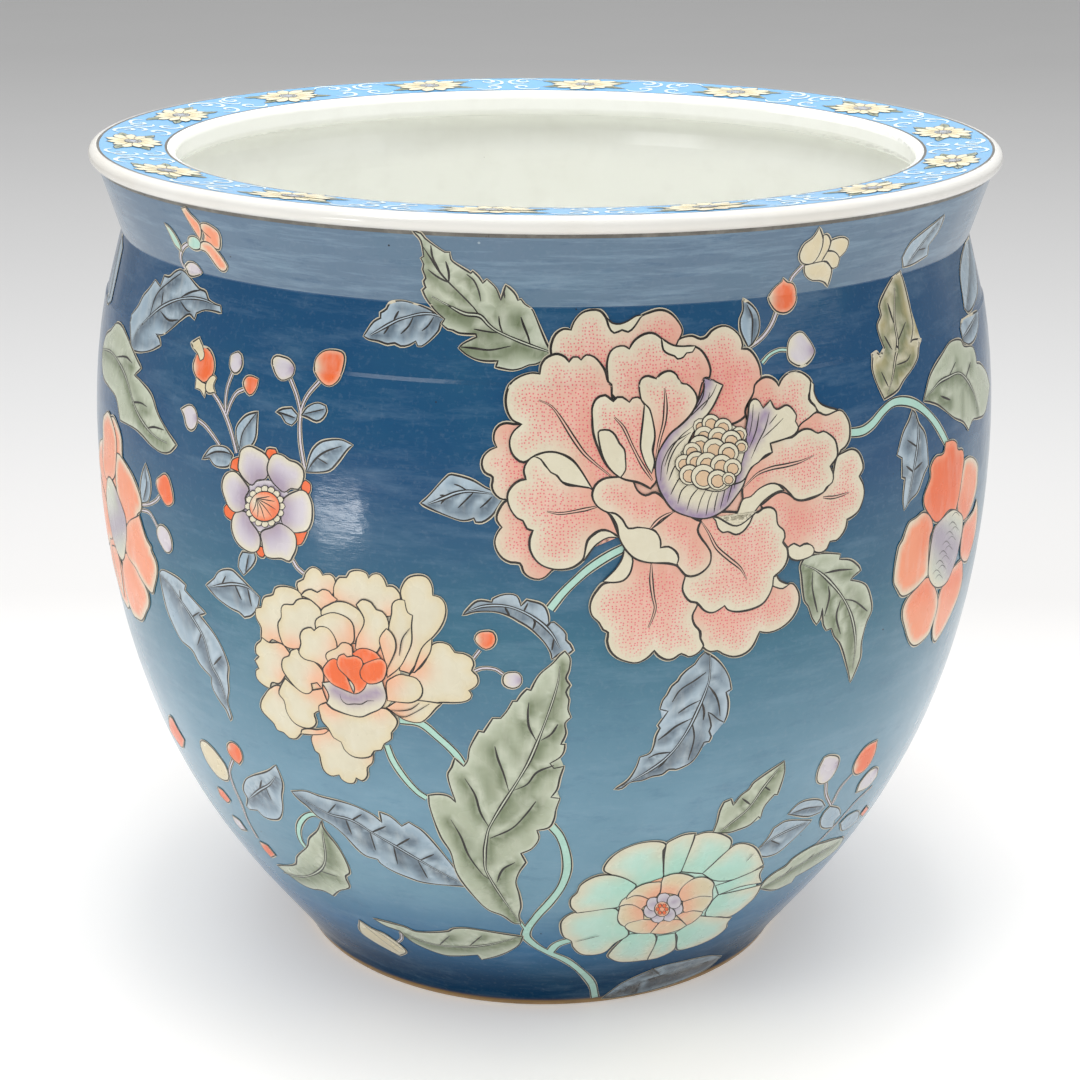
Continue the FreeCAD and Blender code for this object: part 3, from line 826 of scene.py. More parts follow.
# ---- the painting, in pixels of the photograph ---------------------------------------------------
PINK_PEONY = {
    "ground": ("ground", "628,480 12,-40 28,-35 32,-10 45,5 45,30 10,40 -10,35 -45,30 -45,0 -50,-15"),
    "left_outer": ("blush", """514,424 -7,-1 -7,2 -5,6 -1,9 3,7 -7,3 -6,6 -2,8 3,8 8,5 -1,8 2,7 6,6 7,1 33,-9
    10,-40 -20,-25"""),
    "lower_left_outer": ("blush", """507,500 -9,12 -1,8 5,7 -4,5 -3,9 2,9 6,8 8,4 9,1 4,9 6,5 9,2 7,-3 5,-5
    39,-31 -30,-40 -30,-5"""),
    "top_left": ("blush", """551,352 1,-10 4,-8 8,-5 7,1 3,-8 8,-9 10,-3 8,1 6,7 3,9 5,6 8,-3 6,2 6,-5 6,-10
    8,-4 11,-3 9,2 8,7 6,11 -2,7 -4,8 -16,40 -60,5 -40,-15"""),
    "top_fold": ("cream", "607,318 5,5 8,1 8,-3 8,-5 7,-1 -3,3 -6,9 -6,5 -6,-2 -8,3 -5,-6"),
    "upper_right": ("blush", """676,345 2,-5 6,-3 8,-1 8,3 6,-2 5,-6 7,-4 7,-1 7,3 7,7 3,9 -1,4 6,0 5,4 5,8
    3,11 -2,10 -18,38 -40,0 -30,-40"""),
    "far_right_top": ("blush", """753,392 1,-7 6,-6 5,-2 6,1 5,4 2,4 2,-5 5,-6 7,-3 7,0 7,4 4,5 0,7 -2,11
    8,11 -8,30 -38,5 -25,-30"""),
    "far_right_fold": ("cream", "810,381 3,3 0,7 3,8 6,6 16,5 -6,3 -7,2 -7,-3 -4,-7 -5,-6"),
    "far_right": ("blush", """816,412 9,3 14,-5 5,4 4,8 1,9 -1,9 -4,7 -4,3 -4,7 -16,-2 -20,-15 -3,-10 3,-6
    8,-6"""),
    "bottom_right": ("blush", """697,603 -4,7 -1,8 3,8 5,5 0,9 3,7 7,4 7,-1 5,3 10,3 10,-2 9,-7 8,-16 7,1
    9,-2 10,-6 8,-9 5,-12 0,-10 -4,-8 -4,-2 -10,5 -9,-4 -16,1 -35,10"""),
    "bottom_right_fold": ("cream", "772,577 4,-2 3,5 9,4 -6,4 -6,-1 -5,-3"),
    "bottom": ("blush", """632,556 0,9 -3,9 -7,6 -18,3 -7,7 -5,8 -2,8 2,9 7,7 4,7 5,3 -1,8 3,10 7,7 10,4 10,1
    10,-5 7,-7 4,5 8,4 7,-1 8,-5 7,3 7,-2 6,-5 2,-4 -3,-7 -1,-8 -5,-6 -2,-9 5,-13 -12,-27 -9,-10 -26,-3
    -10,-2"""),
    "bottom_fold": ("cream", "624,549 -2,9 -6,10 -13,13 10,1 10,-2 6,-6 3,-9 0,-8"),
    "right_outer": ("blush", """836,457 7,-5 8,-3 6,3 4,8 1,8 -4,8 4,8 1,9 -2,9 -4,9 -7,6 -4,2 -1,7 -4,8 -6,6
    -6,1 -3,7 -6,4 -7,-1 -7,-8 -11,5 -8,-1 -27,-42 20,-13 20,8 22,-8 9,-14"""),
    "right_tuck": ("cream", "787,547 6,-4 6,3 4,-2 6,0 4,4 -1,6 -7,4 -8,2 -7,-2 -3,-5"),
    "lower_right": ("rose", """757,512 5,-4 8,-1 5,4 2,13 6,6 1,7 -2,5 4,5 1,9 -3,9 -6,7 -5,4 -1,8 -3,9 -6,9
    -8,5 -10,3 -10,1 -8,-2 -3,-4 -4,3 -8,4 -8,-2 -8,-8 -6,-1 -5,-5 -3,-8 3,-13 9,0 8,-4 6,-8 2,-10
    -4,-8 -6,-9 -3,-8 3,-8 11,-8"""),
    "upper_middle": ("rose", """607,372 0,-10 3,-10 6,-5 8,-1 5,3 4,-7 7,-6 8,-3 7,1 13,10 9,3 13,-1 9,3 7,9
    4,12 -1,8 -6,1 -13,31 -50,0 -28,-15"""),
    "upper_middle_fold": ("cream", "661,338 7,5 8,3 19,0 -3,6 -6,1 -3,4 -6,2 -3,-3 -6,-2 -5,-4"),
    "upper_left": ("rose", """522,424 -9,-4 -5,-8 -2,-10 1,-10 3,-7 6,-6 8,-4 9,-2 7,1 1,-8 4,-7 7,-4 6,-1
    7,3 4,5 4,-5 5,0 3,3 5,-5 8,2 6,6 5,8 3,11 3,3 1,13 13,32 -5,50 -28,9 -17,-27 -9,-7 -11,-3 -10,0
    -9,3 -12,7 -8,-4 -5,-8 -1,-10 4,-9"""),
    "left": ("rose", """526,479 -6,1 -7,5 -5,8 0,8 4,10 6,7 5,2 4,8 6,2 -3,8 0,10 4,9 7,7 10,4 11,1 10,-2
    8,-5 4,-5 3,-17 5,-6 6,-4 7,-1 14,7 -9,-21 -10,-10 -8,-16 -9,-3 -17,-2 -10,-10 -10,-8 -6,-8 -6,-2
    -7,6 -3,8"""),
    "left_fold": ("cream", "534,456 11,-4 11,0 10,4 10,8 16,24 -29,-6 -6,-7 -6,-3 -10,-13"),
    "left_under_fold": ("cream", "584,557 4,-17 6,-6 7,-4 9,1 8,6 -10,0 -8,4 -6,5 -10,14"),
    "right_middle": ("rose", """791,437 6,-5 6,-3 6,0 8,4 5,-2 6,3 6,6 2,8 0,8 -7,10 3,8 -1,8 -6,5 -3,5 -14,6
    -8,2 -7,-2 -4,-5 -11,-9 -13,3 -10,9 -13,4 0,-13 9,-20 20,-15 -3,-5 2,-6"""),
    "right_fold": ("cream", """717,517 8,0 10,-3 7,-15 8,-3 6,-6 6,-4 8,-3 7,1 6,6 -6,1 -9,5 -8,7 -12,15 -8,6
    -8,1 -7,-4"""),
    "right_under_fold": ("cream", "711,516 4,4 2,7 5,5 5,-1 8,3 7,-3 7,-9 3,-7 5,-5 -17,14 -8,1 -15,-8"),
    "centre_lower": ("rose", """673,511 27,10 -3,8 3,8 6,8 4,8 -1,10 -7,8 -8,4 -8,0 -6,-6 -4,-6 2,-6 -2,-6
    -8,-5 -8,1 -1,-9 -4,-7 -5,-3"""),
    "centre_left": ("rose", """592,495 3,-10 7,-6 8,-2 15,0 7,3 5,10 8,5 10,-3 13,11 5,8 -23,17 -13,-1 -9,1
    -6,-9 -7,-6 -7,-1 -8,-4 -5,-5"""),
    "centre_fold": ("cream", """608,512 7,1 7,6 6,9 9,-1 11,1 8,4 4,8 0,7 8,-1 7,5 3,7 -2,6 -8,-2 -18,0
    -10,-2 -8,-4 -8,-9 -5,-10 -2,-12 -5,-9"""),
    "inner_left": ("rose", """592,416 0,-8 3,-8 5,-4 5,-1 8,6 4,-4 5,0 7,5 3,-4 5,-1 13,9 8,24 0,25 -2,25
    -6,8 -12,-6 -16,-4 -15,-12 -9,-18 -5,-16"""),
    "inner_right": ("rose", """641,400 -2,-10 0,-6 3,-6 6,-2 8,3 3,-4 5,-3 6,-1 6,4 4,8 6,1 6,5 4,7 0,8 -8,13
    -20,19 -8,14 -5,20 -3,-15 2,-15 0,-10 -5,-21 -5,-5"""),
    "inner_right_fold": ("cream", "644,404 5,5 5,21 0,10 -2,9 2,13 -3,11 -5,-8 -4,-10 -2,-10 3,-30"),
    "inner_left_fold": ("cream", "598,432 2,-2 9,0 6,5 4,8 5,6 1,9 0,12 -5,7 -6,-4 -7,-8 -5,-10 -3,-13"),
    "cup": ("violet", """703,379 10,2 9,4 -11,23 -17,22 -7,14 -2,12 37,6 18,-10 10,-12 7,4 -5,11 -10,30 -7,11
    -10,12 -13,8 -12,2 -15,-3 -13,-6 -8,-10 -6,-12 -3,-15 1,-14 5,-12 9,-13 10,-8 10,-10 6,-11 7,-16"""),
    "cup_right": ("violet", """757,400 5,8 7,-8 6,9 11,-4 9,10 -1,6 3,6 -4,7 -8,4 -16,5 2,9 -7,3 -7,7 -7,5
    -8,13 -15,5 8,-13 12,-57 1,-11 4,-5"""),
}
PEONY_VEINS = {
    "upper_left": "539,400 11,5 8,9 18,28 10,13 26,22",
    "centre_left": "673,511 -13,7 -10,10",
    "left": "547,511 13,2 25,-4 12,-3",
    "bottom": "651,563 0,17 2,17 2,10 -3,11 -4,9",
    "lower_right": "700,520 8,12 8,15 12,11 12,10 6,11",
    "right_middle": "813,455 -13,6 -15,4 -15,3 -14,6 -14,14",
    "inner_right": "664,388 1,12 -1,20 -5,20 -4,20",
    "inner_left": "614,417 9,10 9,19 10,19 10,15",
    "right_outer": "848,492 -8,3 -8,2 -10,0",
}
PEONY_POD_GROUND = "698,426 8,-7 12,1 24,11 3,11 -7,28 -6,12 -10,8 -14,0 -12,-6 -8,-12 -5,-12 3,-12 8,-12"
PEONY_POD = [(700, 426, 7), (710, 423, 8), (722, 427, 8), (738, 434, 7), (703, 436, 9), (717, 437, 9),
             (730, 440, 9), (740, 446, 6), (699, 446, 10), (691, 451, 8), (713, 449, 10), (727, 452, 9),
             (683, 463, 8), (695, 461, 9), (706, 463, 10), (720, 465, 10), (731, 467, 8),
             (688, 474, 9), (702, 476, 11), (716, 479, 9), (727, 478, 6)]
CUP_STREAKS = ["704,386 -2,10 -4,8 -8,10", "716,384 -6,12 -10,10 -10,10", "709,392 -3,10 -6,8",
     "692,426 -12,10 -10,14 -6,16", "686,436 -10,10 -7,14 -3,14", "690,432 -18,12 -10,18 -2,18",
     "683,456 -9,10 -6,14", "684,470 -8,12 -6,12", "690,482 -9,8 -4,13", "698,487 -8,10 -4,13",
     "705,489 -5,10 -4,14", "712,490 -4,10 -3,15", "718,489 -3,11 -2,12", "725,485 -3,12 -3,12",
     "733,476 -3,12 -4,14", "740,462 -4,12 -3,14", "684,462 -4,-10 10,-8", "676,480 8,-4 8,8",
     "746,428 -2,16 -4,16", "758,412 -3,18 -7,18", "768,412 -4,16 -7,14 -7,16", "768,424 8,-10",
     "761,438 11,-10 10,-10", "752,404 -1,16 -3,16"]
CUP_VIOLET = ["706,382 -4,12 -10,14 -14,14 -12,16 -7,18 -1,20 6,18 12,13 18,8 18,0",
     "748,418 -2,16 -3,16 -5,18 -6,18 -10,18", "764,414 -4,12 -8,14"]
SAGE_LEAVES = {
    "neck_leaf": ("""413,230 8,3 4,5 20,14 5,0 1,7 4,4 16,10 2,-2 6,6 4,6 4,-4 9,9 5,12 5,-15 6,5 4,5 2,5
    3,-1 4,5 6,4 3,5 11,27 4,8 4,5 -7,4 -4,4 -6,3 -7,1 -7,3 -9,2 -17,-3 2,-6 -12,0 -10,-2 -10,-5 -7,-6
    4,-4 14,-7 -1,-3 -17,-1 -6,-3 -5,-1 -6,-5 3,-5 -7,-6 -6,-7 -6,-9 -3,-7 3,-3 -2,-6 2,-3 -3,-9 1,-5
    -3,-6 3,-2 -3,-16""",
    "553,353 -29,-10 -27,-12 -8,-6 -9,-9 -14,-2 -11,-5 -23,-13",
    ["480,316 -12,-15 -10,-10 -9,-9 -8,-9 -10,-15 -8,-12", "440,270 -7,-13 -2,-12", "449,283 0,-11 -3,-11",
     "448,282 -11,-6 -9,-7", "481,301 -2,-10 -5,-11 -7,-6", "505,298 -1,-8", "531,347 -3,-11 -4,-10 -3,-9",
     "503,333 -3,-8 -1,-9", "497,333 -13,-2 -10,-2", "511,346 -21,4 -17,-2 -12,-1"],
    ["478,340 25,0", "455,351 20,-2", "432,306 8,9", "514,318 4,12", "470,320 -20,-8"]),
    "big_leaf": ("""565,651 -5,4 -7,8 -12,10 -5,7 -5,10 -4,-1 -5,5 -5,7 -4,0 -6,10 -6,7 -8,0 -9,14 -5,-1
    -9,17 -2,12 -4,6 -9,-8 -3,9 -4,8 8,27 -7,-6 -10,-2 -10,1 1,11 11,30 10,16 5,18 7,12 18,21 9,7 13,5
    12,8 6,0 -2,-8 2,-9 -2,-13 -3,-11 3,-10 7,-10 -5,-9 11,-5 7,-10 -2,-8 12,-3 5,-8 2,-10 4,-11 -9,-1
    6,-8 3,-12 4,-11 -10,2 -4,-5 10,-6 4,-6 1,-7 -4,0 5,-11 -1,-10 6,-6 -3,-8 1,-10 -3,-7 4,-7 -4,-7
    3,-8 1,-12""",
    "560,666 -2,16 -7,24 -14,37 -11,24 -36,59 -4,16 -1,13 2,17 32,49",
    ["536,740 -7,-14 -1,-14 1,-10", "509,791 -5,-17 -6,-16 -3,-12", "490,828 -9,-15 -6,-19 -10,-16",
     "490,879 -7,-5 -14,-19 -8,-19 -10,-17", "541,740 10,-6 7,-10", "514,790 13,-6 10,-12 17,-7",
     "490,838 22,-10 14,-14 10,-13", "497,882 6,-13 12,-7"],
    ["505,735 15,25", "482,770 10,30", "462,830 16,28", "545,700 3,16", "530,796 -25,26", "500,880 8,16"]),
    "right_neck_leaf": ("""923,401 7,-26 13,-23 7,-10 10,-2 3,6 9,1 3,8 1,8 4,1 6,9 3,12 -1,10 -4,18 -7,5
    -5,2 -4,10 -5,-8 -10,-5 -15,-12 -8,-3""",
    "923,401 15,-18 10,-6 10,-4 7,5 7,12 4,12 2,10",
    ["948,377 7,-15", "965,378 5,-16", "950,400 -10,-4"],
    ["956,366 4,8", "940,402 10,2", "962,395 0,23"]),
    "peony_leaf": ("""800,566 4,-8 8,-3 12,-2 16,1 -1,5 11,1 8,6 2,4 -8,7 -2,3 10,2 6,4 4,12 1,12 -5,12 -5,20
    -1,14 -4,12 -6,14 -3,-14 -7,-24 -6,-8 -3,-8 -5,2 -3,-6 -1,-16 -2,10 -4,6 -4,-6 -4,-12 -4,-6 -3,-26""",
    "802,564 14,6 14,12 14,18 8,20 3,24 -3,24",
    ["812,572 0,16 5,24", "828,586 1,10 -5,20", "840,600 -4,16 4,18", "824,573 14,-3 14,-1",
     "843,599 11,2 13,10"],
    ["808,580 1,18", "822,590 0,14", "848,632 0,20", "850,590 10,10"]),
    "left_leaf": ("""118,323 7,7 17,38 -7,7 7,7 10,13 6,18 9,17 10,15 -7,7 -8,0 -10,-7 -9,-10 -8,-7 -14,-8
    -4,-22 -7,-11 -6,-12 -1,-17 1,-11 3,-12 5,-5""",
    "104,349 8,3 8,11 7,15 10,32 10,17 10,10 11,6",
    ["133,363 -6,-6 -10,0", "148,407 -6,-4 -9,-1", "165,430 -10,-3 -7,1"],
    ["125,367 10,23 8,25"]),
    "low_right_leaf": ("""784,761 -30,21 -5,7 -8,6 -8,10 -2,-6 -7,3 -4,8 -3,12 -4,10 15,0 10,-3 12,-5 8,-8
    2,2 4,-12 10,-12 3,0 7,-22""",
    "780,766 -16,20 -16,22 -14,12 -14,11",
    ["750,804 -8,-6", "764,786 6,4"],
    ["770,784 -18,22", "736,824 -12,6"]),
    "low_right_feather": ("759,888 6,-8 10,-8 10,-6 8,-8 12,-8 12,-6 25,-7 -1,5 -5,7 -41,27 -4,6 -16,7",
    "762,887 22,-13 22,-14 32,-19",
    ["784,874 8,-8", "806,860 8,-7"],
    ["796,868 16,-8"]),
    "low_left_leaf": ("""322,820 -4,10 -8,8 -2,8 -10,10 -2,8 -18,1 22,17 12,6 12,2 10,5 6,-5 8,-2 2,-2 -4,-10
    4,-4 -4,-12 -8,-14 -14,-18""",
    "284,872 20,4 16,-6 6,-12 -3,-28",
    ["320,870 18,6"],
    ["300,870 18,-2", "330,850 6,12"]),
    "bottom_leaf": ("""374,918 30,8 12,5 32,0 6,-3 16,0 53,8 -4,8 -9,6 -12,5 -16,4 -4,-5 -20,1 -14,-1 -26,-10
    -12,-8 -6,-6 -14,-5""",
    "404,932 24,10 32,4 28,-2 32,-8",
    ["440,944 10,-9", "470,945 12,-10"],
    ["430,946 40,4"]),
}
OLIVE_LEAVES = {
    "right_olive_leaf": ("""900,271 -8,7 -10,19 -3,10 2,8 -4,10 2,10 5,13 -4,9 -4,-5 -4,3 0,13 4,14 8,17
    13,-9 6,-10 9,-12 5,-11 1,-12 2,-6 -8,1 -2,3 2,-10 0,-11 -10,-44""",
    "894,288 0,17 0,17 3,21 -2,15 -3,19 -5,18",
    ["893,323 -6,-20", "897,342 8,-20", "892,350 -8,-14", "896,365 11,-5 3,-6", "888,387 -7,-15"],
    ["899,300 2,30", "888,350 -2,26"]),
}
SLATE_LEAVES = {
    "neck_left": ("""364,336 10,-14 7,-4 0,-5 6,-4 3,-6 6,-2 9,0 19,6 8,4 7,5 7,3 -5,4 -2,7 -5,6 -5,5 -7,5
    -4,0 -2,-5 -7,4 -8,1 -6,-3 -7,1 -9,-3 -10,-2""",
    "442,317 -10,-3 -11,0 -13,3 -12,4 -25,14",
    ["390,325 -3,5 -3,4", "414,316 -5,10 -8,8", "434,317 -6,9 -6,5", "394,320 5,-9"],
    ["400,308 24,3"]),
    "neck_small": ("743,299 9,7 5,7 2,9 -1,11 -6,11 -4,3 -6,-12 -2,-7 0,-9 3,-8",
    "747,305 5,12 0,16 -1,12",
    [],
    ["755,316 1,14"]),
    "neck_right": ("944,215 -31,25 -6,8 -5,10 1,9 9,-3 15,-9 1,-10 10,-14 4,-9",
    "907,264 10,-14 11,-15 12,-15",
    ["917,250 8,-2"],
    ["912,258 12,-10"]),
    "edge_upper": ("969,236 -4,7 -5,27 4,38 4,4 7,-12 2,-12 -1,-28 -4,-13",
    "968,240 1,22 -1,28 -2,18",
    [],
    ["972,262 1,22"]),
    "edge_lower": ("962,320 15,-9 1,11 -3,15 -6,7 -6,-2 -3,-14",
    "962,338 8,-12 6,-12",
    [],
    ["966,324 4,8"]),
    "right_long": ("""912,410 -3,10 -6,13 -6,22 5,3 0,19 3,1 -2,22 1,10 6,-10 7,-8 7,-19 4,-8 -3,-30 -7,-12
    -3,-10""",
    "913,412 5,16 -1,19 -4,25 -6,33",
    ["917,447 -10,-7", "914,470 8,-8", "913,472 -7,-6"],
    ["910,430 -1,20", "919,452 -2,30"]),
    "left_big": ("""222,313 -1,-7 -6,-2 -6,-4 -3,-8 -6,-3 -11,-13 -7,-6 -6,2 -6,5 -5,-1 -4,11 -5,-7 -6,9 -6,7
    -5,10 -7,9 -1,10 1,25 10,2 10,-2 9,-5 -1,-6 -4,-5 6,1 8,-5 12,-11 8,-5 5,5 2,-6 8,-3 10,1""",
    "134,340 7,-14 9,-9 12,-10 15,-7 15,-2 13,2 9,4",
    ["182,297 10,-5 10,-2", "181,301 6,9 4,2", "161,311 8,9 10,0", "150,317 7,-22 13,-13 12,-9",
     "162,307 2,-15"],
    ["136,343 20,1", "150,312 10,-16 16,-16", "166,304 20,-2"]),
    "left_edge_thin": ("123,234 -11,44 -3,14 -1,11 3,-1 12,-54",
    "122,238 -6,30 -6,30",
    [],
    []),
    "poppy_small": ("146,464 5,19 -2,17 -7,3 -1,-16 2,-14",
    "146,468 1,16 -3,16",
    [],
    []),
    "left_long": ("""160,573 2,-3 6,2 10,6 8,7 -1,5 21,23 -6,2 17,23 11,25 0,15 1,12 -1,12 4,15 -1,3 -4,-10
    -7,-10 -7,-13 -1,-10 -12,-14 -7,-13 -11,-10 -7,-13 -7,-17 -5,-20""",
    "161,575 11,12 30,46 10,32 8,15 8,23",
    ["182,602 -2,-12", "192,617 8,-5", "202,633 -4,12", "214,665 8,-9"],
    ["172,598 16,28", "204,650 12,30"]),
    "left_mid": ("207,585 8,-7 3,-5 5,-3 9,0 6,5 22,22 -2,10 -6,8 -7,2 -5,-5 -8,-4 -9,-6 -8,-7",
    "210,587 12,-2 13,-1 13,3 10,8",
    ["235,584 7,16", "222,585 4,-9", "248,588 4,18"],
    ["224,596 20,10"]),
    "bud_low": ("203,459 8,-11 7,-2 9,2 6,7 -3,10 -7,2 -8,-2 -5,-7",
    "205,457 10,-5 10,0 8,3",
    [],
    ["218,460 8,2"]),
    "bud_mid": ("258,412 -10,3 -6,5 -5,8 0,10 3,12 5,-1 7,-4 4,-8 1,-12",
    "240,448 3,-15 7,-11 7,-9",
    [],
    ["251,428 -1,12"]),
    "bud_left": ("277,412 6,-3 9,-1 6,7 -1,5 -5,5 -6,-3 -4,-7",
    "279,412 17,6",
    [],
    []),
    "bud_right": ("302,415 6,-8 10,-4 8,3 1,5 -4,7 -6,3 -9,-4",
    "304,414 21,-5",
    [],
    []),
    "bud_long": ("353,445 -11,-5 -12,0 -10,3 -8,9 -6,20 14,0 10,-2 8,-8 10,-13",
    "307,472 8,-12 10,-8 17,-6",
    ["318,458 10,6"],
    ["320,466 16,-8"]),
    "peony_left": ("""421,503 6,-5 22,-23 6,0 17,5 14,8 5,2 5,4 8,3 -10,16 -5,5 -7,4 -6,0 -2,-4 -6,2 -8,0
    -26,-10 -8,-4""",
    "494,494 -14,-2 -12,-1 -12,2 -10,4 -10,4 -8,3",
    ["468,491 -8,-5 -6,-2", "474,492 -8,8 -8,8", "492,497 -6,6 -6,5", "450,496 -6,4 -3,4", "447,496 -7,-1"],
    ["450,512 20,4 18,-4"]),
    "under_lilac": ("243,552 -3,6 -1,9 5,8 9,-10 3,-7 -1,-5",
    "249,555 -3,17",
    [],
    []),
    "curled": ("""463,615 5,-6 10,-8 14,1 1,-3 9,-4 8,-1 7,2 3,6 1,4 6,-6 16,5 5,9 1,9 5,-1 7,6 5,6 0,6 4,4
    3,6 -5,4 -7,-1 -9,6 -1,-6 -5,-9 -7,-8 -10,-9 -10,-6 -9,-5 -12,-4 -13,-1 -12,1""",
    "560,648 -8,-14 -12,-12 -16,-10 -18,-6 -22,0 -16,5",
    ["505,607 5,9", "532,615 3,7 -2,7", "554,638 -2,12", "524,611 4,-8", "546,627 5,-5"],
    ["480,606 28,3 22,11", "545,632 11,14"]),
    "under_peony": ("""705,652 -6,6 -4,6 -7,5 -7,7 -3,5 -6,5 -5,9 -4,5 -3,9 8,2 -10,14 2,3 -4,8 -2,9 -4,8
    -10,4 -4,11 -8,12 -13,9 7,-1 8,-6 12,-2 10,-4 10,-2 7,-5 7,0 8,-3 7,-4 6,-7 7,-13 5,-1 2,-5 -2,-5
    2,-5 -3,-14 4,2 6,5 6,3 3,-8 1,-12 -2,-10 5,-3 -2,-11 -5,-10 -8,-9""",
    "710,655 0,15 -2,14 -14,34 -10,18 -12,16 -16,14 -34,20",
    ["706,672 -11,8 -15,10 -8,12", "700,700 -12,6 -10,7", "692,718 -16,8 -10,8 -8,6", "670,752 -14,2 -8,4",
     "709,686 7,10 3,10 1,10", "702,702 2,10 -1,8", "692,722 2,16 -6,22", "670,754 -6,8 -6,6"],
    ["722,662 2,22", "704,724 -5,24", "684,750 -12,14", "640,772 20,-4", "690,678 -14,12", "680,740 10,12"]),
    "low_blue": ("""276,765 4,9 3,10 -1,12 1,12 -3,10 -8,1 -8,-3 -6,-6 -8,-1 -3,-3 1,-8 -4,-8 2,-10 6,-4
    16,-5""",
    "249,799 11,-9 10,-6 6,-8",
    ["260,790 2,-10", "266,787 6,13"],
    ["262,804 14,4"]),
    "low_long": ("""292,791 14,0 14,5 30,8 22,10 10,8 -2,-10 10,4 12,10 7,-4 15,10 26,30 10,14 6,10 -42,-4
    -18,-6 -14,-6 -11,-7 -3,-4 -14,-5 -20,-20 -12,-10 -14,-8 -10,-10 -10,-8""",
    "300,796 28,17 24,7 20,12 24,14 24,14 40,22",
    ["328,813 8,-9", "352,820 10,-6", "372,832 14,-6", "396,846 14,-8", "420,860 14,-6", "346,819 6,15",
     "370,831 6,19", "394,846 4,18", "418,860 10,18"],
    ["304,799 24,8", "338,823 22,3", "360,840 36,12", "404,864 20,6", "398,834 16,8"]),
    "low_right": ("811,820 -25,1 -12,7 -6,10 -11,12 5,6 12,-2 9,-6 25,-24",
    "758,849 12,-9 14,-8 22,-10",
    ["770,840 10,4"],
    ["776,846 14,-10"]),
    "low_right_small": ("788,814 10,-10 10,-4 12,0 5,6 -5,6 -12,4",
    "792,813 14,-5 16,-2",
    [],
    ["804,812 12,-2"]),
    "foot": ("602,998 10,-8 12,-8 32,-14 18,-5 34,-7 13,0 -9,8 -12,8 -50,18 -36,8",
    "606,996 34,-14 40,-12 36,-12",
    ["640,982 -4,10", "660,975 -8,-7"],
    ["640,988 40,-12"]),
}
STEMS = {
    "pink_peony_stem": (2.8, "mint", "630,545 -20,10 -20,13 -15,13 -13,13 -12,15"),
    "leaf_stem": (3.2, "mint", """551,825 9,11 6,17 1,17 -6,17 -12,16 -12,13 -11,18 8,10 14,8 18,8 16,12
    10,12 3,13"""),
    "leaf_branch": (3.6, "mint", "549,953 7,-8 10,-4 11,-2"),
    "leaf_foot": (1.0, "mint", "518,918 8,12"),
    "right_stem": (3.2, "mint", "846,433 16,-2 10,-7 10,-12 10,-9 11,-2 12,3 11,8 10,12 11,20"),
    "cream_stem_upper": (2.8, "mint", "400,720 20,3 18,14 17,16 8,12"),
    "cream_stem_lower": (2.4, "mint", "387,745 6,15 12,18 13,14 9,6"),
    "curl_stem": (2.0, "mint", "308,850 -7,-10 -2,-12 5,-10 9,-4 9,3"),
    "lilac_stem": (1.0, "pale_lilac", "292,558 6,10 6,5"),
    "neck_bud_stem": (1.0, "pale_lilac", "803,265 -6,6 -5,6 -2,5"),
    "neck_orange_stem": (1.0, "pale_lilac", "776,313 -4,10 -7,11 -8,8 -8,5"),
    "neck_lilac_stem": (1.0, "mint", "788,350 -9,0 -10,5 -7,8"),
    "neck_flower_stem": (1.0, "pale_lilac", "188,244 -4,3 -3,8 1,7 4,8"),
    "poppy_bud_stem": (0.8, "pale_lilac", "141,505 9,-1 7,-4 3,-4"),
    "poppy_low_stem": (0.8, "pale_lilac", "142,510 8,3 8,14"),
    "sprig_main": (1.0, "pale_lilac", "212,391 8,12 7,15 5,15 5,20"),
    "sprig_lilac": (0.8, "pale_lilac", "233,373 -5,14 -2,13 0,12"),
    "sprig_orange": (0.8, "pale_lilac", "245,389 -8,4 -6,10 -4,12"),
    "sprig_left": (0.8, "pale_lilac", "197,419 8,6 8,10 7,10"),
    "sprig_right_lilac": (0.8, "pale_lilac", "291,379 6,16 4,17"),
    "sprig_right_orange": (0.8, "pale_lilac", "320,381 -12,14 -6,13 -1,10"),
    "sprig_right_down": (1.0, "pale_lilac", "301,412 -1,16 1,17 5,28"),
    "cream_bud_stem": (0.8, "pale_lilac", "480,650 -7,9"),
    "cream_lilac_stem": (0.8, "pale_lilac", "474,671 9,-3 12,1 8,5"),
    "low_lilac_stem": (0.8, "pale_lilac", "826,783 0,11 5,12"),
    "low_orange_stem": (0.8, "pale_lilac", "852,774 -12,14 -8,16"),
    "low_right_stem": (0.8, "pale_lilac", "872,786 -17,16 -23,26 -16,16"),
    "low_left_stem": (0.8, "pale_lilac", "233,760 -3,12 4,14 8,18 6,16 10,18"),
    "bottom_stem": (0.8, "pale_lilac", "401,932 1,6 -4,4"),
}
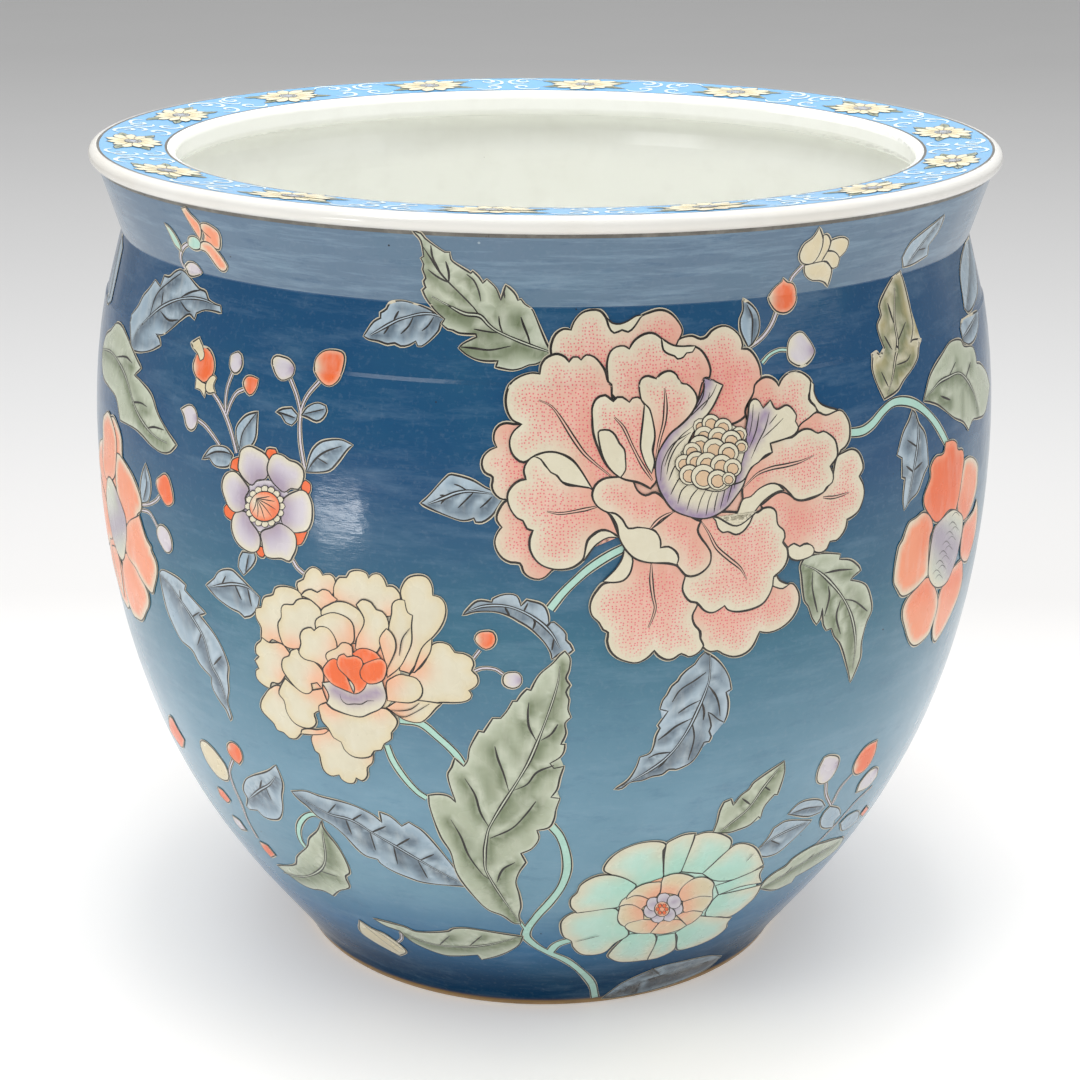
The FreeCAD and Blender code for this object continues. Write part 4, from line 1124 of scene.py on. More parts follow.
BUDS = {
    "neck_cream_1": ("cream", "819,227 -3,6 -5,6 -6,4 -4,6 -2,7 2,6 5,2 6,-1 5,-5 4,-9 2,-7 -1,-7"),
    "neck_cream_2": ("cream", "823,235 3,-1 3,3 1,6 -3,8 -6,10 -8,2 5,-7 4,-10"),
    "neck_cream_3": ("cream", "831,240 5,-2 6,-1 5,2 1,4 -3,8 -6,6 -6,-6 -5,-1"),
    "neck_cream_4": ("cream", "827,251 6,0 4,3 2,5 -2,7 -5,2 -6,-7 -5,0"),
    "neck_cream_5": ("cream", "804,265 19,-4 5,3 3,5 -1,7 -3,10 -3,-4 -6,-2 -6,0 -5,-3 -3,-5"),
    "neck_orange": ("orange", "783,278 4,4 5,1 3,5 1,9 -2,8 -5,6 -6,2 -7,-2 -5,-6 -3,-7 3,-6 5,-6 6,-5"),
    "neck_lilac": ("lilac", "799,332 5,2 10,16 -2,7 -5,6 -6,3 -7,-2 -6,-6 0,-15 4,-7"),
    "neck_flower_1": ("coral", "182,208 4,-1 5,7 6,6 4,6 1,8 -1,6 -15,-24"),
    "neck_flower_2": ("coral", "201,224 5,-1 6,3 7,6 2,8 -1,9 -4,-1 -12,-7 1,-6 -3,-6"),
    "neck_flower_3": ("coral", "202,242 7,0 6,5 11,15 2,5 -3,4 -5,-2 -13,-17 -6,-3"),
    "neck_calyx": ("mint", "189,238 5,-2 5,3 3,6 -2,4 -6,0 -5,-4"),
    "neck_leaflet": ("mint", "165,223 5,4 6,8 5,10 1,6 -6,-6 -5,-10"),
    "neck_low_petal": ("lilac", "186,266 4,-4 7,2 6,8 -3,3 -9,1 -3,-5"),
    "poppy_bud": ("orange", "157,480 3,-3 6,-3 4,6 4,20 -3,5 -4,0 -5,-8 -4,-9"),
    "poppy_lilac": ("lilac", "158,528 4,-3 6,5 4,10 0,10 -5,2 -6,-9 -3,-8"),
    "sprig_bud": ("orange", "196,358 4,-8 5,-3 7,6 3,9 -1,11 -6,8 -5,1 -6,-5 -3,-10"),
    "sprig_bud_fold": ("cream", "192,343 8,-5 5,15 -1,6 -3,2 -3,-8 -4,-5"),
    "sprig_sepal_1": ("cream", "197,377 6,5 5,2 -3,13 -4,-7 -5,-2"),
    "sprig_sepal_2": ("cream", "208,381 6,-6 3,3 -3,8 2,6 -7,1 -3,-5"),
    "sprig_lilac_1": ("lilac", "231,358 1,-3 7,-3 3,3 1,8 -3,8 -5,2 -4,-6"),
    "sprig_orange_1": ("orange", "244,383 3,-6 5,-1 7,3 -2,9 -4,6 -3,1 -4,-5"),
    "sprig_lilac_2": ("lilac", "182,409 8,-4 5,3 3,10 -2,9 -5,3 -4,-5 -2,-9"),
    "sprig_lilac_3": ("lilac", "273,360 4,-4 6,1 7,3 5,9 -3,8 -4,2 -6,1 -5,-5 -3,-8"),
    "sprig_orange_2": ("orange", "315,367 2,-9 6,-6 7,-2 12,2 3,5 -2,13 -4,10 -9,6 -8,-4 -6,-9"),
    "cream_orange": ("orange", "475,639 3,-6 7,-2 8,1 3,7 -3,7 -7,3 -7,-4"),
    "cream_lilac": ("lilac", "503,680 2,-6 7,-2 7,1 3,7 -3,6 -7,2 -7,-3"),
    "low_lilac": ("lilac", "824,757 6,-2 8,2 0,7 -6,12 -8,7 -7,-2 1,-11"),
    "low_orange": ("orange", "877,740 -3,14 -8,14 -10,6 -3,-6 5,-12 8,-10"),
    "low_mint": ("lilac", "870,770 7,-2 -1,8 -8,10 -12,6 4,-10"),
    "low_calyx": ("slate", "824,812 6,-6 8,2 2,6 -6,6 -2,7 -10,0 -2,-7"),
    "low_leaflet": ("slate", "840,823 8,-8 10,-4 -1,9 -7,6 -8,4"),
    "low_sliver": ("orange", "862,816 6,-8 -2,-2 -6,8"),
    "left_edge_orange": ("orange", "170,716 3,2 5,10 7,12 -2,7 -6,-7 -6,-10"),
    "low_left_orange": ("orange", "228,745 5,-3 7,6 3,10 -3,6 -6,-5 -5,-7"),
    "low_left_cream": ("cream", "201,742 7,1 16,19 5,12 -1,6 -8,-3 -8,-9 -6,-10"),
    "low_left_orange_2": ("orange", "218,787 5,3 8,10 -3,2 -7,-7"),
    "low_left_lilac": ("lilac", "233,815 7,5 7,10 -5,-1 -6,-7"),
    "low_left_orange_3": ("orange", "260,841 8,4 8,10 -4,2 -8,-9"),
    "bottom_cream": ("cream", "360,920 12,8 14,6 20,16 -6,5 -24,-13 -14,-10"),
}
LILAC_FLOWER = {
    "sepal_1": ("orange", "231,468 2,-8 6,-3 5,7 -4,8"),
    "sepal_2": ("orange", "266,456 2,-7 8,0 2,6 -6,7"),
    "sepal_3": ("orange", "302,484 4,-4 5,4 -1,9 -7,3"),
    "sepal_4": ("orange", "296,545 6,-1 6,-12 -4,-4 -10,6"),
    "sepal_5": ("orange", "256,549 3,6 5,2 3,-6 -5,-5"),
    "sepal_6": ("orange", "232,520 -6,-5 -1,-8 5,-3 8,8"),
    "petal_1": ("petal", "242,450 8,-4 8,3 9,6 3,7 -3,16 -9,2 -5,5 -5,-3 -6,-7 -3,-7 1,-10"),
    "petal_2": ("petal", "270,460 5,-6 8,1 7,5 8,3 6,7 0,10 -5,9 -7,-1 -7,4 -7,-5 -6,-7 -4,-10"),
    "petal_3": ("petal", "300,490 7,2 5,10 1,10 -1,10 -4,8 -6,2 -9,0 -3,-4 -7,-5 -1,-10 1,-13"),
    "petal_4": ("petal", "262,532 1,10 3,13 7,3 9,0 8,3 3,-4 4,-10 -1,-12 -6,-7 -10,-5 -7,4"),
    "petal_5": ("petal", "237,512 -4,8 0,10 5,12 9,8 8,2 5,-4 1,-11 -3,-7 -6,-8 -5,-10"),
    "petal_6": ("petal", "230,472 7,0 11,13 2,5 -4,8 1,9 -10,5 -7,-5 -4,-9 -3,-11 2,-10"),
}
CREAM_PEONY = {
    "a": "298,588 0,-6 6,-3 2,-6 7,-6 7,3 3,5 7,-1 5,4 1,7 -2,8 -9,12 -20,0",
    "b": "336,582 4,-5 7,0 3,-5 8,-2 9,3 2,5 4,-4 7,0 5,6 2,6 6,0 5,4 3,7 -8,18 -36,-3 -20,-10 -3,-12",
    "c": """401,593 1,-6 6,-9 10,-3 9,2 5,8 1,10 7,2 5,6 1,10 -4,12 -9,12 -6,5 -7,10 -3,10 -7,11 -10,-3 0,-30
    4,-30""",
    "c_front": "392,613 1,-10 6,-4 6,1 3,12 5,3 -1,10 0,17 -5,13 -7,12 -12,10 -1,-5 3,-24 -1,-20",
    "p": """432,645 8,-3 10,3 5,7 8,1 9,5 2,7 -2,5 5,5 1,8 -5,5 -4,2 3,5 -4,5 -10,2 -18,0 -17,3 -18,-5 5,-26
    10,-6 8,-11""",
    "p_strip": "413,672 9,-24 5,-6 5,-4 0,7 -2,8 -7,10 -8,9",
    "q": "387,707 11,8 9,5 13,2 8,-5 9,-10 5,-4 -22,-3 -20,0",
    "r": "387,682 6,-5 7,-3 7,1 10,3 5,7 1,7 -3,6 -8,4 -9,0 -15,-2",
    "d": "263,602 2,-5 9,-3 2,-6 9,-2 13,4 5,7 -3,23 -15,25 -12,-6 -3,3 -8,-5 0,-10 -5,-10 0,-9 5,-1",
    "e": "282,617 0,-9 3,-4 9,0 3,-4 6,-2 9,2 6,5 4,7 8,28 -30,8 -8,0 -7,-3 -4,-8 -2,-9 0,-6",
    "f": "302,595 3,-4 7,-2 6,3 5,-3 7,2 3,4 5,4 -13,13 -13,-12",
    "k": "263,637 -1,3 -5,5 0,8 3,3 -4,4 4,8 -3,2 1,8 7,7 6,3 2,-6 7,1 5,-6 10,-17 -10,-15 -6,-3 -9,0",
    "m": "271,688 -5,6 -4,8 1,8 12,13 3,6 7,3 5,5 7,1 5,-5 11,-6 -13,-27 -20,-15",
    "n": "286,678 -4,7 -2,8 5,7 3,12 7,10 10,5 8,0 4,-5 -2,-9 5,-3 0,-5 8,-4 -5,-13 -11,2 -5,3 -9,-5",
    "o": "313,735 3,15 4,3 2,9 3,8 7,5 8,-1 2,4 6,4 7,0 2,-5 6,3 5,-5 0,-8 5,-5 1,-10 -45,-22",
    "o_tuck": "302,733 1,-4 7,-1 8,1 9,-1 2,2 -4,3 -12,1",
    "l": "290,655 2,-5 6,-2 4,5 13,8 9,11 -1,16 -5,-6 -6,1 1,7 -6,3 -9,-5 -11,-13 -4,-8 1,-9",
    "g": "322,610 8,-6 8,-3 9,1 6,3 7,5 5,10 -2,10 -5,7 -2,6 -11,-3 -20,-20",
    "h": "357,604 6,-5 9,3 5,7 6,2 5,7 1,10 -5,5 -4,15 -8,7 -16,-7 2,-11 7,-17",
    "h_front": "380,640 2,-6 5,-6 5,4 4,8 0,10 -8,18 -4,-13",
    "i": "316,623 2,-5 10,-5 7,-1 7,2 6,3 5,5 2,8 -2,13 -18,2 -15,-5",
    "j": "301,635 3,-6 8,-2 3,3 5,-4 8,1 5,5 4,8 1,6 -3,19 -11,5 -2,-5 -7,-4 -10,-3 -5,-6 2,-9",
    "heart_white": "327,657 1,-5 10,-5 5,-5 7,1 3,3 -1,14 -17,8",
    "s": """321,712 -1,-7 7,-3 6,6 27,8 10,-3 8,-5 9,0 6,5 5,7 -2,7 -4,5 0,6 -7,5 -3,6 -7,1 -3,5 -9,2 -10,-2
    -8,-7 -3,-7 -7,-4 -6,-10 -6,-7""",
}
PEONY_HEART = {
    "bowl": ("bowl", "323,682 4,6 3,7 -2,7 7,6 25,8 12,-4 10,-5 5,-10 -4,-17 -43,0"),
    "back": ("orange", "353,653 7,-5 8,0 9,4 5,6 -12,7"),
    "right": ("orange", "361,670 3,-6 8,-4 10,-2 5,5 0,9 -4,8 -13,3 -7,-5"),
    "left": ("orange", "324,670 3,-7 6,-5 5,1 7,11 10,23 -12,-5 -11,-6"),
    "middle": ("orange", "338,662 2,-7 5,-2 3,3 7,-1 7,3 2,6 -3,6 1,7 6,5 -3,6 -5,4 -5,1 0,-8 -8,-10 -7,-7"),
}
MINT_FLOWER = {
    "p1": "604,870 3,-8 8,-8 10,-6 14,-5 14,-2 10,1 3,3 -3,5 0,20 -1,8 -22,12 -29,-16",
    "p2": "666,844 9,-6 10,-4 10,-1 -8,27 -6,11 -18,9",
    "p3": "695,835 10,-3 10,0 10,3 6,5 -2,8 -8,9 -19,16 -21,-2",
    "p4": "732,846 9,-3 10,2 6,5 6,14 -13,8 -17,7 -18,1 -13,-7",
    "p5": "763,866 -4,8 2,8 -21,4 -22,8 -3,-9 18,-6",
    "p6": "761,884 -4,8 -6,8 -20,15 -12,1 -14,-1 7,-15 6,-6",
    "p7": "731,917 -4,5 -2,6 -10,8 -12,6 -14,5 -11,2 -2,-5 1,-8 -2,-4 25,-17",
    "p8": "675,947 -6,5 -12,5 -10,2 9,-19 1,-5 18,-3",
    "p9": "647,959 -26,2 -10,-3 -3,-4 17,-18 6,-3 24,1",
    "p10": "562,920 9,-7 14,-3 20,-2 11,0 9,17 3,9 -13,8 -10,9 -12,3 -12,-1 -8,-7 -2,-6 -7,-4 -3,-8",
    "p11": "571,906 0,-8 6,-6 4,-8 14,-8 14,-2 14,3 10,5 3,3 -16,20 -15,3 -28,4",
}
MINT_GROUND = "600,908 12,-20 28,-20 32,-12 33,-4 30,6 17,14 3,16 -13,17 -30,17 -32,16 -40,8 -30,-16"
MINT_RING_GROUND = "620,915 4,-15 16,-14 28,-10 32,3 9,11 -5,15 -14,13 -22,11 -28,1 -16,-6"
MINT_FLOWER_INNER = {
    "bottom_left": "624.8,926 3.2,-5 8,-2.5 19,0.5 3,1.5 -2.5,5.5 -5.5,6 -8,0.5 -10,-1.5",
    "bottom": "650,932 10,-12 18,-1.5 8,5.5 -6,4 -10,3.5 -10,1.5",
    "low_right": "686,924 -10,-9.5 8,-3.5 8,-1.5 10,1 -1.5,3.5 -9.5,8",
    "left_middle": "617.4,917.5 2.1,-12 6.5,-2 8,0.5 6,2.5 3,4.5 0.5,7 -15.5,4 -3.5,3.5 -4.5,-2.5",
    "left_upper": "618.5,905.5 3.5,-6.5 6,-3.5 10,-0.9 9,1.9 4.5,4 -8,5 -2.5,2.5 -9,-4.5 -8,0.1",
    "top_left": """626,898.2 1.4,-3.9 8.5,-7.7 9.7,-4.3 10.4,-1.4 5.3,0.4 -0.4,7.2 -4.9,7.1 -5,3.4 -11,-4.4
    -7,0.2""",
    "right": "684,911 -2,-6 0,-5 8,-3 10,-2 12,0.5 -1.5,4.5 -3.5,5.5 -5,5 -10,-1",
    "top": "661,881.5 2,-5.5 9,-3 8,-0.7 8,1.7 6,2.5 -6,4 -7,6.5 -4,7 -7,-1.5 -8,0.5 -3,1 1.5,-6",
    "top_right": "682,900 -4,-5 3,-8 7,-6.5 7,-3.5 8,-1 7,2.5 3.5,4.5 -1.5,6 0,6.5 -12,-0.5 -10,3",
}
RIGHT_POPPY = {
    "upper_right": ("flame", "964,460 4,-3 5,1 4,7 0,10 -1,12 -4,16 -6,14 -4,3 -5,-12 3,-25"),
    "lower_right": ("flame", "976,499 1,11 -2,20 -4,17 -5,14 -6,-6 2,-25 3,-8 8,-12"),
    "bottom_right": ("flame", "960,560 2,10 -1,13 -5,17 -20,40 -4,-3 1,-15 9,-37"),
    "bottom_left": ("flame", "927,577 6,8 4,12 -1,13 -4,13 -5,12 -15,10 -9,-22 -1,-13 5,-12 10,-11"),
    "left": ("flame", "923,512 7,5 2,10 -3,10 -2,38 -14,15 -11,6 -5,-6 -4,-10 5,-33 4,-7 4,-12 3,-6 6,-4"),
    "top": ("deep", """945,442 7,-2 4,3 1,6 5,1 1,8 -1,12 -4,27 -3,13 -7,0 -11,12 -7,-5 -7,-17 7,-23 0,-10
    5,-10 8,-4"""),
    "heart": ("pod", "951,510 7,2 4,8 -5,32 -5,16 -7,15 -10,4 -7,-10 0,-14 5,-33 7,-10"),
}
LEFT_POPPY = {
    "p1": ("peach", "104,420 2,-6 4,-1 7,24 0,25 -2,16 -8,0 -3,-16 0,-25"),
    "p2": ("peach", "118,453 3,2 11,18 6,14 4,13 0,10 -4,5 0,10 -3,3 -5,-3 -5,-5 -8,-37"),
    "p5": ("peach", "113,545 5,28 8,24 -5,-35 -4,-14"),
    "p4": ("peach", "126,553 7,7 15,30 2,13 -3,9 -4,8 -5,-2 -3,-3 -5,-12 -6,-30"),
    "p3": ("peach", "140,515 7,23 5,9 0,3 5,12 1,11 -3,15 -2,5 -10,-13 -6,-12 -7,-10 -3,-8 1,-25"),
    "heart": ("pod", "109,478 4,2 8,20 6,20 0,25 -3,15 -6,-10 -6,-22 -4,-28"),
}


PINK_PEONY_MIDDLE, PINK_PEONY_HEART = (670, 470), (700, 470)
CREAM_PEONY_HEART = (352, 672)
CREAM_GROUND, CREAM_GROUND_RADIUS = (355, 674), 46
PEONY_BOWL_SHADE, PEONY_BOWL_LINE = "336,690 16,8 26,-6", "341,693 1,5 5,5 8,0 8,0 5,-3 7,0"
PEONY_FOLDS = ("390,709 10,1 12,-2 8,-6", "392,710 11,6 10,-3 17,-10", "411,627 -8,11 -3,17")
MINT_HEART, MINT_FOLDS = (660, 907), ("753,852 -8,8", "575,940 24,-6")
MINT_EYE, MINT_EYE_RADIUS = (661.5, 907.5), 7.5
MINT_EYE_PETALS = (663, 906.5)      # middle of the ring of small violet petals
LILAC_HEART, LILAC_GROUND_RADIUS, LILAC_EYE_RADIUS = (266, 506), 26, 15.0
LILAC_LIGHT, LILAC_SHADE, LILAC_RAYS_START = (256, 500), (275, 510), (258, 498)
LILAC_RAYS = ((254, 512), (259, 517), (266, 519), (273, 516), (277, 509), (276, 501), (271, 496))
RIGHT_POPPY_HEART, LEFT_POPPY_HEART = (946, 545), (116, 520)
POPPY_TONES = {                     # edge, body and wash of each kind of petal
    "flame": ("cream", "coral", "orange"), "deep": ("coral", "orange", "orange"),
    "peach": ("cream", "coral", "coral"), "pod": ("cream", "pale_sage", "lilac")}
POPPY_SCALES, POPPY_SCALES_START = 14, (956, 516)
POPPY_SCALES_LEFT, POPPY_SCALES_RIGHT = 930, 958
BUD_FOLDS = ("364,924 18,15 18,13", "371,927 17,11 15,11", "200,226 5,6 7,6")
WIDE_STEM = 1.5                     # millimetres; thinner ones get a finer outline


def round_outline(centre, radius, count=10):
    """Pixels of a circle as it would be drawn on the picture."""
    return [(centre[0] + radius * math.cos(2 * math.pi * k / count),
             centre[1] + radius * math.sin(2 * math.pi * k / count)) for k in range(count)]


def enamels(scene):
    return [overglaze(scene), ink(scene)]


class PAINT_OT_pink_peony(bpy.types.Operator):
    """Paint the large pink peony with its stippled petals and seed pod"""
    bl_idname = "jardiniere.pink_peony"
    bl_label = "Pink Peony"

    def execute(self, context):
        brush = Brush("pink_peony", context.scene, base=16)
        brush.centre_on(PINK_PEONY_MIDDLE)
        for name, (kind, outline) in PINK_PEONY.items():
            pixels = trace(outline)
            if kind == "cream":
                brush.shape(pixels, "cream", "cream", halo=False, ink=0.9)
            elif kind == "ground":
                brush.shape(pixels, "rose", "blush", halo=False, ink=0.3)
            elif kind == "violet":
                brush.shape(pixels, "cream", "cream", margin=5 * MM, ink=0.9,
                            washes=[("lilac", 3.2 * MM, 0.95, trace(path)) for path in CUP_VIOLET])
            else:
                near = sorted(pixels, key=lambda pixel: math.dist(pixel, PINK_PEONY_HEART))[:4]
                brush.shape(pixels, "cream", "blush", margin=12.5 * MM, stipple=1.0, ink=1.1,
                            washes=[("rose", 13 * MM, 0.75, near)])
            if name in PEONY_VEINS:
                brush.double_line(trace(PEONY_VEINS[name]), 1.2 * MM, "blush")
        for path in CUP_STREAKS:
            brush.line(trace(path), ink=0.6)
        brush.layer += 1
        brush.shape(trace(PEONY_POD_GROUND), "cream", "cream", ink=0.6, halo=False)
        for x, y, radius in PEONY_POD:
            brush.shape(round_outline((x, y), radius * 1.12), "cream", "cream", 1 * MM, ink=0.6, halo=False)
            brush.shape(round_outline((x, y + radius * 0.14), radius * 0.72, 9), "pod", "pod", margin=1 * MM,
                        ink=0.5, halo=False)
        brush.finish(enamels(context.scene))
        return {"FINISHED"}


class PAINT_OT_cream_peony(bpy.types.Operator):
    """Paint the cream peony with its orange heart"""
    bl_idname = "jardiniere.cream_peony"
    bl_label = "Cream Peony"

    def execute(self, context):
        brush = Brush("cream_peony", context.scene, base=10)
        brush.centre_on(CREAM_PEONY_HEART)
        brush.shape(round_outline(CREAM_GROUND, CREAM_GROUND_RADIUS, 16), "warm_cream", "peach", ink=0.3,
                    halo=False)
        for outline in CREAM_PEONY.values():
            brush.petal(trace(outline), "warm_cream", "cream", 5 * MM, CREAM_PEONY_HEART, "peach", 6 * MM,
                        0.6, ink=0.75)
        for kind, outline in PEONY_HEART.values():
            if kind == "bowl":
                brush.shape(trace(outline), "cream", "cream", 3 * MM, ink=0.7, halo=False,
                            washes=[("lilac", 4 * MM, 0.8, trace(PEONY_BOWL_SHADE))])
                brush.line(trace(PEONY_BOWL_LINE), 0.6)
            else:
                brush.petal(trace(outline), "peach", "orange", 2 * MM, CREAM_PEONY_HEART, "orange", 5 * MM,
                            0.9, ink=0.6, halo=False)
        for path in PEONY_FOLDS:
            brush.line(trace(path), 0.6)
        brush.finish(enamels(context.scene))
        return {"FINISHED"}


class PAINT_OT_mint_flower(bpy.types.Operator):
    """Paint the mint-green flower low on the body"""
    bl_idname = "jardiniere.mint_flower"
    bl_label = "Mint Flower"

    def execute(self, context):
        brush = Brush("mint_flower", context.scene, base=10)
        brush.centre_on(MINT_HEART)
        brush.shape(trace(MINT_GROUND), "pale_mint", "pale_mint", ink=0.3, halo=False)
        for outline in MINT_FLOWER.values():
            brush.petal(trace(outline), "cream", "pale_mint", 10 * MM, MINT_HEART, "deep_mint", 11 * MM, 0.7)
        brush.shape(trace(MINT_RING_GROUND), "peach", "warm_cream", 4 * MM, ink=0.3, halo=False)
        for outline in MINT_FLOWER_INNER.values():
            brush.petal(trace(outline), "cream", "warm_cream", 3 * MM, MINT_HEART, "peach", 6 * MM, 0.75,
                        ink=0.7, halo=False)
        middle, height = MINT_EYE_PETALS
        for turn in range(7):
            angle = 2 * math.pi * (turn + 0.3) / 7
            place = (middle + 13 * math.cos(angle), height + 8 * math.sin(angle) - 1.8 * math.cos(angle))
            brush.shape(round_outline(place, 7, 9), "pale_lilac", "pale_lilac", 2 * MM, ink=0.6, halo=False,
                        washes=[("lilac", 2.5 * MM, 0.5, [place])])
        brush.shape(round_outline(MINT_EYE, MINT_EYE_RADIUS, 10), "cream", "peach", 1 * MM, ink=0.6,
                    halo=False)
        for turn in range(6):
            angle = 2 * math.pi * turn / 6
            place = (MINT_EYE[0] + 4.4 * math.cos(angle), MINT_EYE[1] + 4 * math.sin(angle))
            brush.shape(round_outline(place, 2.1, 6), "orange", "orange", ink=0.35, halo=False)
        for path in MINT_FOLDS:
            brush.line(trace(path), 0.6)
        brush.finish(enamels(context.scene))
        return {"FINISHED"}


class PAINT_OT_lilac_flower(bpy.types.Operator):
    """Paint the lilac-white blossom and its scalloped heart"""
    bl_idname = "jardiniere.lilac_flower"
    bl_label = "Lilac Blossom"

    def execute(self, context):
        brush = Brush("lilac_flower", context.scene, base=10)
        brush.centre_on(LILAC_HEART)
        brush.shape(round_outline(LILAC_HEART, LILAC_GROUND_RADIUS, 12), "pale_lilac", "lilac", ink=0.3,
                    halo=False)
        for kind, outline in LILAC_FLOWER.values():
            if kind == "orange":
                brush.shape(trace(outline), "orange", "orange", 2 * MM, ink=0.7)
            else:
                brush.petal(trace(outline), "cream", "pale_lilac", 5 * MM, LILAC_HEART, "lilac", 6 * MM,
                            0.55, ink=0.8)
        for k in range(16):
            angle = 2 * math.pi * k / 16
            place = (LILAC_HEART[0] + 16.5 * math.cos(angle), LILAC_HEART[1] + 17.5 * math.sin(angle))
            brush.shape(round_outline(place, 3.6, 7), "cream", "cream", 1 * MM, ink=0.5, halo=False)
        brush.shape(round_outline(LILAC_HEART, LILAC_EYE_RADIUS, 14), "orange", "peach", 3 * MM, ink=0.6,
                    halo=False, washes=[("cream", 4 * MM, 0.9, [LILAC_LIGHT]),
                                        ("orange", 3.5 * MM, 0.9, [LILAC_SHADE])])
        start_x, start_y = LILAC_RAYS_START
        for x, y in LILAC_RAYS:
            brush.line([LILAC_RAYS_START, ((start_x + x) / 2 + 1, (start_y + y) / 2), (x, y)], 0.5)
        brush.finish(enamels(context.scene))
        return {"FINISHED"}


class PAINT_OT_poppies(bpy.types.Operator):
    """Paint the two orange poppies at the sides"""
    bl_idname = "jardiniere.poppies"
    bl_label = "Poppies"

    def execute(self, context):
        for name, petals, heart in (("right_poppy", RIGHT_POPPY, RIGHT_POPPY_HEART),
                                    ("left_poppy", LEFT_POPPY, LEFT_POPPY_HEART)):
            brush = Brush(name, context.scene, base=10)
            brush.centre_on(heart)
            if name == "left_poppy":
                # its hidden half: the petals that show, mirrored over the middle of the pod
                pod = next(brush.chart(trace(outline)) for kind, outline in petals.values() if kind == "pod")
                middle = (min(pod)[0] + max(pod)[0]) / 2
                self.paint(brush, petals, heart, lambda x: 2 * middle - x, ("pod",))
            self.paint(brush, petals, heart, lambda x: x, ())
            if name == "right_poppy":
                for k in range(POPPY_SCALES):
                    x = POPPY_SCALES_START[0] - 1.6 * k + 4 * (k % 2)
                    y = POPPY_SCALES_START[1] + 4.8 * k
                    if POPPY_SCALES_LEFT < x < POPPY_SCALES_RIGHT:
                        brush.line([(x - 5, y), (x - 1, y - 4), (x + 3, y)], 0.45)
            brush.finish(enamels(context.scene))
        return {"FINISHED"}

    def paint(self, brush, petals, heart, across, left_out):
        """The flower's petals, with each place's distance round the bowl passed through across."""
        for kind, outline in petals.values():
            if kind in left_out:
                continue
            edge, body, wash = POPPY_TONES[kind]
            near = sorted(trace(outline), key=lambda pixel: math.dist(pixel, heart))[:3]
            places = smooth_line(brush.chart(near), 1.5 * MM)
            washes = [(wash, 9 * MM, 0.95 if kind == "deep" else 0.7, [(across(x), y) for x, y in places])]
            flat = [(across(x), y) for x, y in brush.chart(trace(outline))]
            line = smooth_line(flat, brush.sizes.stroke_step, closed=True)
            brush.closed(line, edge, body, 5 * MM, washes, 0.0, 0.8, True)


class PAINT_OT_sage_leaves(bpy.types.Operator):
    """Paint the grey-green and olive leaves"""
    bl_idname = "jardiniere.sage_leaves"
    bl_label = "Green Leaves"

    def execute(self, context):
        for name, leaves, tones in (("sage_leaves", SAGE_LEAVES, ("pale_sage", "sage", "dark_sage")),
                                    ("olive_leaves", OLIVE_LEAVES, ("cream", "olive", "dark_sage"))):
            brush = Brush(name, context.scene, base=6)
            for outline, rib, veins, shades in leaves.values():
                brush.centre_on(trace(rib)[0])
                brush.leaf(tones, outline, rib, veins, shades)
            brush.finish(enamels(context.scene))
        return {"FINISHED"}


class PAINT_OT_slate_leaves(bpy.types.Operator):
    """Paint the blue-grey leaves"""
    bl_idname = "jardiniere.slate_leaves"
    bl_label = "Blue-grey Leaves"

    def execute(self, context):
        brush = Brush("slate_leaves", context.scene, base=3)
        for name, (outline, rib, veins, shades) in SLATE_LEAVES.items():
            brush.centre_on(trace(rib)[0])
            tones = ("pale_slate", "slate", "dark_slate")
            if name == "foot":
                tones = ("slate", "dark_slate", "ink")
            brush.leaf(tones, outline, rib, veins, shades)
            brush.layer = 3
        brush.finish(enamels(context.scene))
        return {"FINISHED"}


class PAINT_OT_stems(bpy.types.Operator):
    """Paint the stems and the sprigs' thin stalks"""
    bl_idname = "jardiniere.stems"
    bl_label = "Stems"

    def execute(self, context):
        brush = Brush("stems", context.scene, base=1)
        for width, paint, path in STEMS.values():
            brush.centre_on(trace(path)[0])
            brush.stem(trace(path), width * MM, paint, 0.8 if width > WIDE_STEM else 0.55)
        brush.finish(enamels(context.scene))
        return {"FINISHED"}


class PAINT_OT_buds(bpy.types.Operator):
    """Paint the buds and the little flower on the neck"""
    bl_idname = "jardiniere.buds"
    bl_label = "Buds"

    def execute(self, context):
        brush = Brush("buds", context.scene, base=8)
        for kind, outline in BUDS.values():
            brush.centre_on(trace(outline)[0])
            brush.bud(kind, outline)
            if brush.layer > 12:
                brush.layer = 8
        for path in BUD_FOLDS:
            brush.line(trace(path), 0.6)
        brush.finish(enamels(context.scene))
        return {"FINISHED"}


# ---- the rim's border ------------------------------------------------------------------------------
class RimTop:
    """The flat blue band on the rim, as distance round and radius."""

    def __init__(self):
        mesh = NODES["rim_band_enamel"].data
        ring = {}
        for face in mesh.polygons:
            if face.normal.z > 0.9:
                for index in face.vertices:
                    place = mesh.vertices[index].co
                    ring[round(math.hypot(place.x, place.y), 5)] = place.z
        self.inner, self.outer = min(ring), max(ring)
        self.low, self.high = ring[self.inner], ring[self.outer]
        slope = (self.high - self.low) / (self.outer - self.inner)
        self.normal = Vector((-slope, 1.0)).normalized()

    def place(self, angle, run, lift):
        part = (run - self.inner) / (self.outer - self.inner)
        r, z = run + lift * self.normal.x, self.low + part * (self.high - self.low) + lift * self.normal.y
        return (Vector((r * math.sin(angle), -r * math.cos(angle), z)),
                Vector((self.normal.x * math.sin(angle), -self.normal.x * math.cos(angle), self.normal.y)))


RIM = RimTop()
RIM_FLOWERS = 14
RIM_START = math.radians(-6.4)
RIM_MIDDLE = 208 * MM


